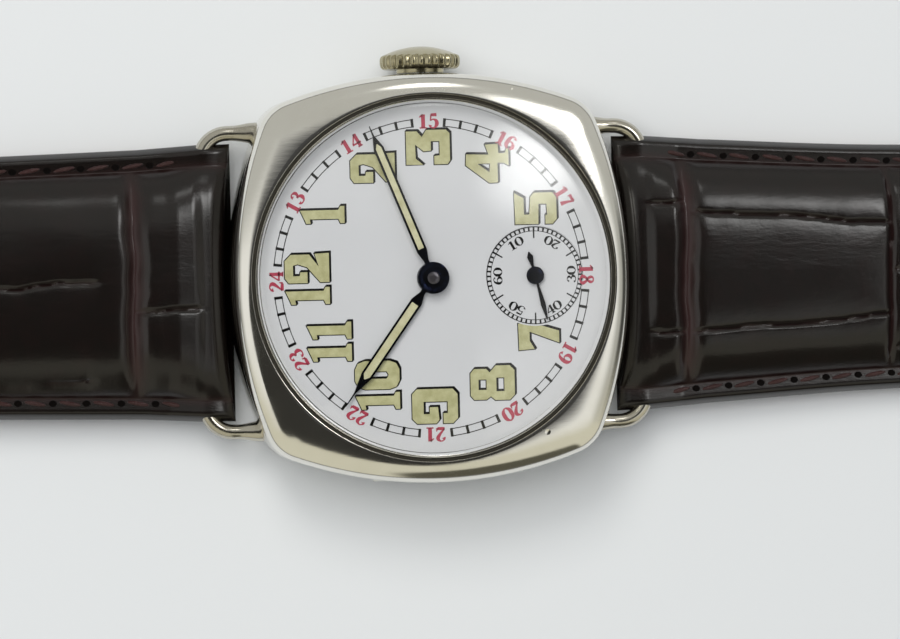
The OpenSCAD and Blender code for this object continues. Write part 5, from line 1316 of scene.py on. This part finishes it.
def place_strap(bm, half_turn):
    """Set a strap drawn from its lug bar at 12 o'clock, or turned half round at 6."""
    bmesh.ops.translate(bm, vec=(0, BAR_Y, LUG_Z), verts=bm.verts[:])
    if half_turn:
        bmesh.ops.rotate(bm, cent=(0, 0, 0), matrix=Matrix.Rotation(pi, 3, "Z"),
                         verts=bm.verts[:])


# %% Buckle half
BUCKLE_DROP, BUCKLE_LOOP, BAR_BORE = -1.1, 1.3, 0.78
TANG_SLOT = (2.4, 10, 12)
rings = strap_rings(strap_12)
end, tints = rings[-1]
middle_z = (STRAP_BASE + STRAP_BASE + END_PAD) / 2
for a in (90, 72, 54, 38, 24, 12):
    flat = sin(radians(a))
    rings.append(([(x * 0.995, LENGTH_12 + BUCKLE_LOOP * cos(radians(a)),
                    BUCKLE_DROP + (z - middle_z) * flat) for x, y, z in end], tints))
bm = loft([r for r, v in rings], [v for r, v in rings])
place_strap(bm, False)
upper = piece("croc_strap_12", bm, "strap_12", croc, sharp=60,
              swaps=["strap_12"])
slot = bmesh.new()
bmesh.ops.create_cube(slot, size=1)
bmesh.ops.scale(slot, vec=TANG_SLOT, verts=slot.verts[:])
bmesh.ops.translate(slot, vec=(0, BAR_Y + LENGTH_12 + 1.8, LUG_Z), verts=slot.verts[:])
rod(slot, (-12, BAR_Y + LENGTH_12, 2), (12, BAR_Y + LENGTH_12, 2), BAR_BORE)
carve(upper, slot)

# %% Holed half
rings = strap_rings(strap_6)
bm = loft([r for r, v in rings], [v for r, v in rings])
place_strap(bm, True)
lower = piece("croc_strap_6", bm, "strap_6", croc, sharp=60,
              swaps=["strap_6"])


HOLES, FIRST_HOLE, HOLE_PITCH, HOLE_R = 7, 62, 6, 0.8


def tongue_holes():
    """Rods where the tang's holes are, to be cut out of the leather."""
    bm = bmesh.new()
    for k in range(HOLES):
        y = -(BAR_Y + FIRST_HOLE + HOLE_PITCH * k)
        rod(bm, (0, y, -5), (0, y, 9), HOLE_R, 40)
    return bm


carve(lower, tongue_holes())


# %% Calf linings
def lining(name, strap, start, end, half_turn, swap, steps=60):
    """A flat strip with eased upper edges, a hair narrower than the strap."""
    rings = []
    for k in range(steps + 1):
        s = start + (end - start) * k / steps
        h, z = strap["half"](s) - 0.25, strap["base"](s)
        lip = min(0.15, h / 4)
        rings.append([(h, s, z + 0.15), (h, s, z + 0.65), (h - lip, s, z + 0.79),
                      (0, s, z + 0.79), (lip - h, s, z + 0.79), (-h, s, z + 0.65),
                      (-h, s, z + 0.15), (lip - h, s, z), (0, s, z), (h - lip, s, z)])
    bm = loft(rings)
    place_strap(bm, half_turn)
    return piece(name, bm, swap[1], calf, swaps=[swap[0]])


lining("calf_lining_12", strap_12, 3.1, 68.8, False, ("lining_12", "strap_12"))
holed = lining("calf_lining_6", strap_6, 3.1, 114.2, True, ("lining_6", "strap_6"))
carve(holed, tongue_holes())

# %% [markdown]
# ## Stitches
# Saddle stitching runs 1.3 mm in from the edge: slanted stitches of thick waxed thread,
# with a needle hole in each gap whose shade is painted as a flat near-black bead. Each
# stitch and each bead is a stretched sphere of few faces, laid in the channel beside the rim.

# %% Stitches
STITCH_INSET, FIRST_STITCH, STITCH_PITCH, STITCH_SLANT = 1.32, 1.2, 2.75, 0.16
STITCH, HOLE_SHADE = (0.2, 0.92, 0.14), (0.3, 0.34, 0.05)  # half sizes, the length along y


def stitch_line(strap, start, end):
    """Points along the line of stitches on the side of positive x."""
    points = []
    s = start
    while s < end:
        half = strap["half"](s)
        slope = (strap["half"](min(s + 0.02, strap["length"])) - half) / 0.02
        out = Vector((1, -slope)).normalized()
        points.append(Vector((half, s)) - STITCH_INSET * out)
        s += 0.1 if s < strap["length"] - 3 else 0.01
    return points


def bead(bm, size):
    """Add a sphere stretched to these half sizes, and return its vertices."""
    grown = bmesh.ops.create_icosphere(bm, subdivisions=2, radius=1)["verts"]
    bmesh.ops.scale(bm, vec=size, verts=grown)
    return grown


def sew(name, strap, start, end, half_turn, body):
    """Stitches, and painted shade for the needle holes between them, along both edges of a half.
    """
    bm, hole_shades = bmesh.new(), bmesh.new()
    for side in (1, -1):
        line = [p for p in stitch_line(strap, start, end) if p.x > 0.4]
        travelled, last, made = 0.0, line[0], 0
        for p in line[1:]:
            travelled += (p - last).length
            if travelled >= STITCH_PITCH * made + FIRST_STITCH:
                ahead = (p - last).normalized()
                heading = atan2(ahead.y, ahead.x) - pi / 2 + STITCH_SLANT
                z, tint = strap_top(strap, p.y, p.x)
                stitch = bead(bm, STITCH)
                bmesh.ops.rotate(bm, cent=(0, 0, 0), verts=stitch,
                                 matrix=Matrix.Rotation(heading, 3, "Z"))
                bmesh.ops.translate(bm, vec=(p.x, p.y, z + 0.02), verts=stitch)
                if side < 0:
                    bmesh.ops.scale(bm, vec=(-1, 1, 1), verts=stitch)
                q = p + STITCH_PITCH / 2 * ahead
                along = min(q.y, strap["length"])
                if abs(q.x) < strap["half"](along) - 0.9:
                    z, tint = strap_top(strap, along, q.x)
                bmesh.ops.translate(hole_shades, vec=(side * q.x, q.y, z),
                                    verts=bead(hole_shades, HOLE_SHADE))
                made += 1
            last = p
    for mesh, label, material in ((bm, "stitches_", thread), (hole_shades, "hole_shades_", needle_hole_shade)):
        place_strap(mesh, half_turn)
        turn_outwards(mesh)
        piece(label + name, mesh, body, material, sharp=90)


sew("12", strap_12, 1.6, 69.5, False, "strap_12")
sew("6", strap_6, 1.6, LENGTH_6 - 1.2, True, "strap_6")

# %% [markdown]
# ## Keepers
# Two flat loops of the same leather hold the tail. Each is a rounded frame drawn along the
# strap, with its edges burnished round.

# %% Keepers
KEEPER_W, KEEPER_WALL_X, KEEPER_WALL_Z = 5, 1.8, 1.7


def rounded_ring(width, height, radius, y, z, count=8):
    """A rectangle with round corners, centred at height z across the strap."""
    ring = []
    for qx, qz, start in ((1, 1, 0), (-1, 1, 90), (-1, -1, 180), (1, -1, 270)):
        for k in range(count + 1):
            a = radians(start + 90 * k / count)
            ring.append((qx * (width / 2 - radius) + radius * cos(a), y,
                         z + qz * (height / 2 - radius) + radius * sin(a)))
    return ring


def keeper(name, s, slack, body, swap):
    """A leather loop s millimetres along the buckle half, wider than it by slack."""
    inner_w = 2 * half_12(s) + slack
    inner_h = pad_height(s - 5, LENGTH_12, strap_12["groove"]) + 3.0
    z = LUG_Z + STRAP_BASE - 0.05 + inner_h / 2
    outer_w, outer_h = inner_w + KEEPER_WALL_X, inner_h + KEEPER_WALL_Z
    y0, y1 = BAR_Y + s - KEEPER_W / 2, BAR_Y + s + KEEPER_W / 2
    bm = loft([rounded_ring(outer_w, outer_h, 1.2, y0, z),
               rounded_ring(outer_w, outer_h, 1.2, y1, z),
               rounded_ring(inner_w, inner_h, 0.5, y1, z),
               rounded_ring(inner_w, inner_h, 0.5, y0, z)], join=True)
    soften(bm, 0.25, 3, 60)
    piece(name, bm, body, croc, swaps=[swap])


keeper("fixed_loop", 65, 0.4, "strap_12", "keeper_fixed")
keeper("sliding_loop", 56, 1.1, "keeper_free", "keeper_free")
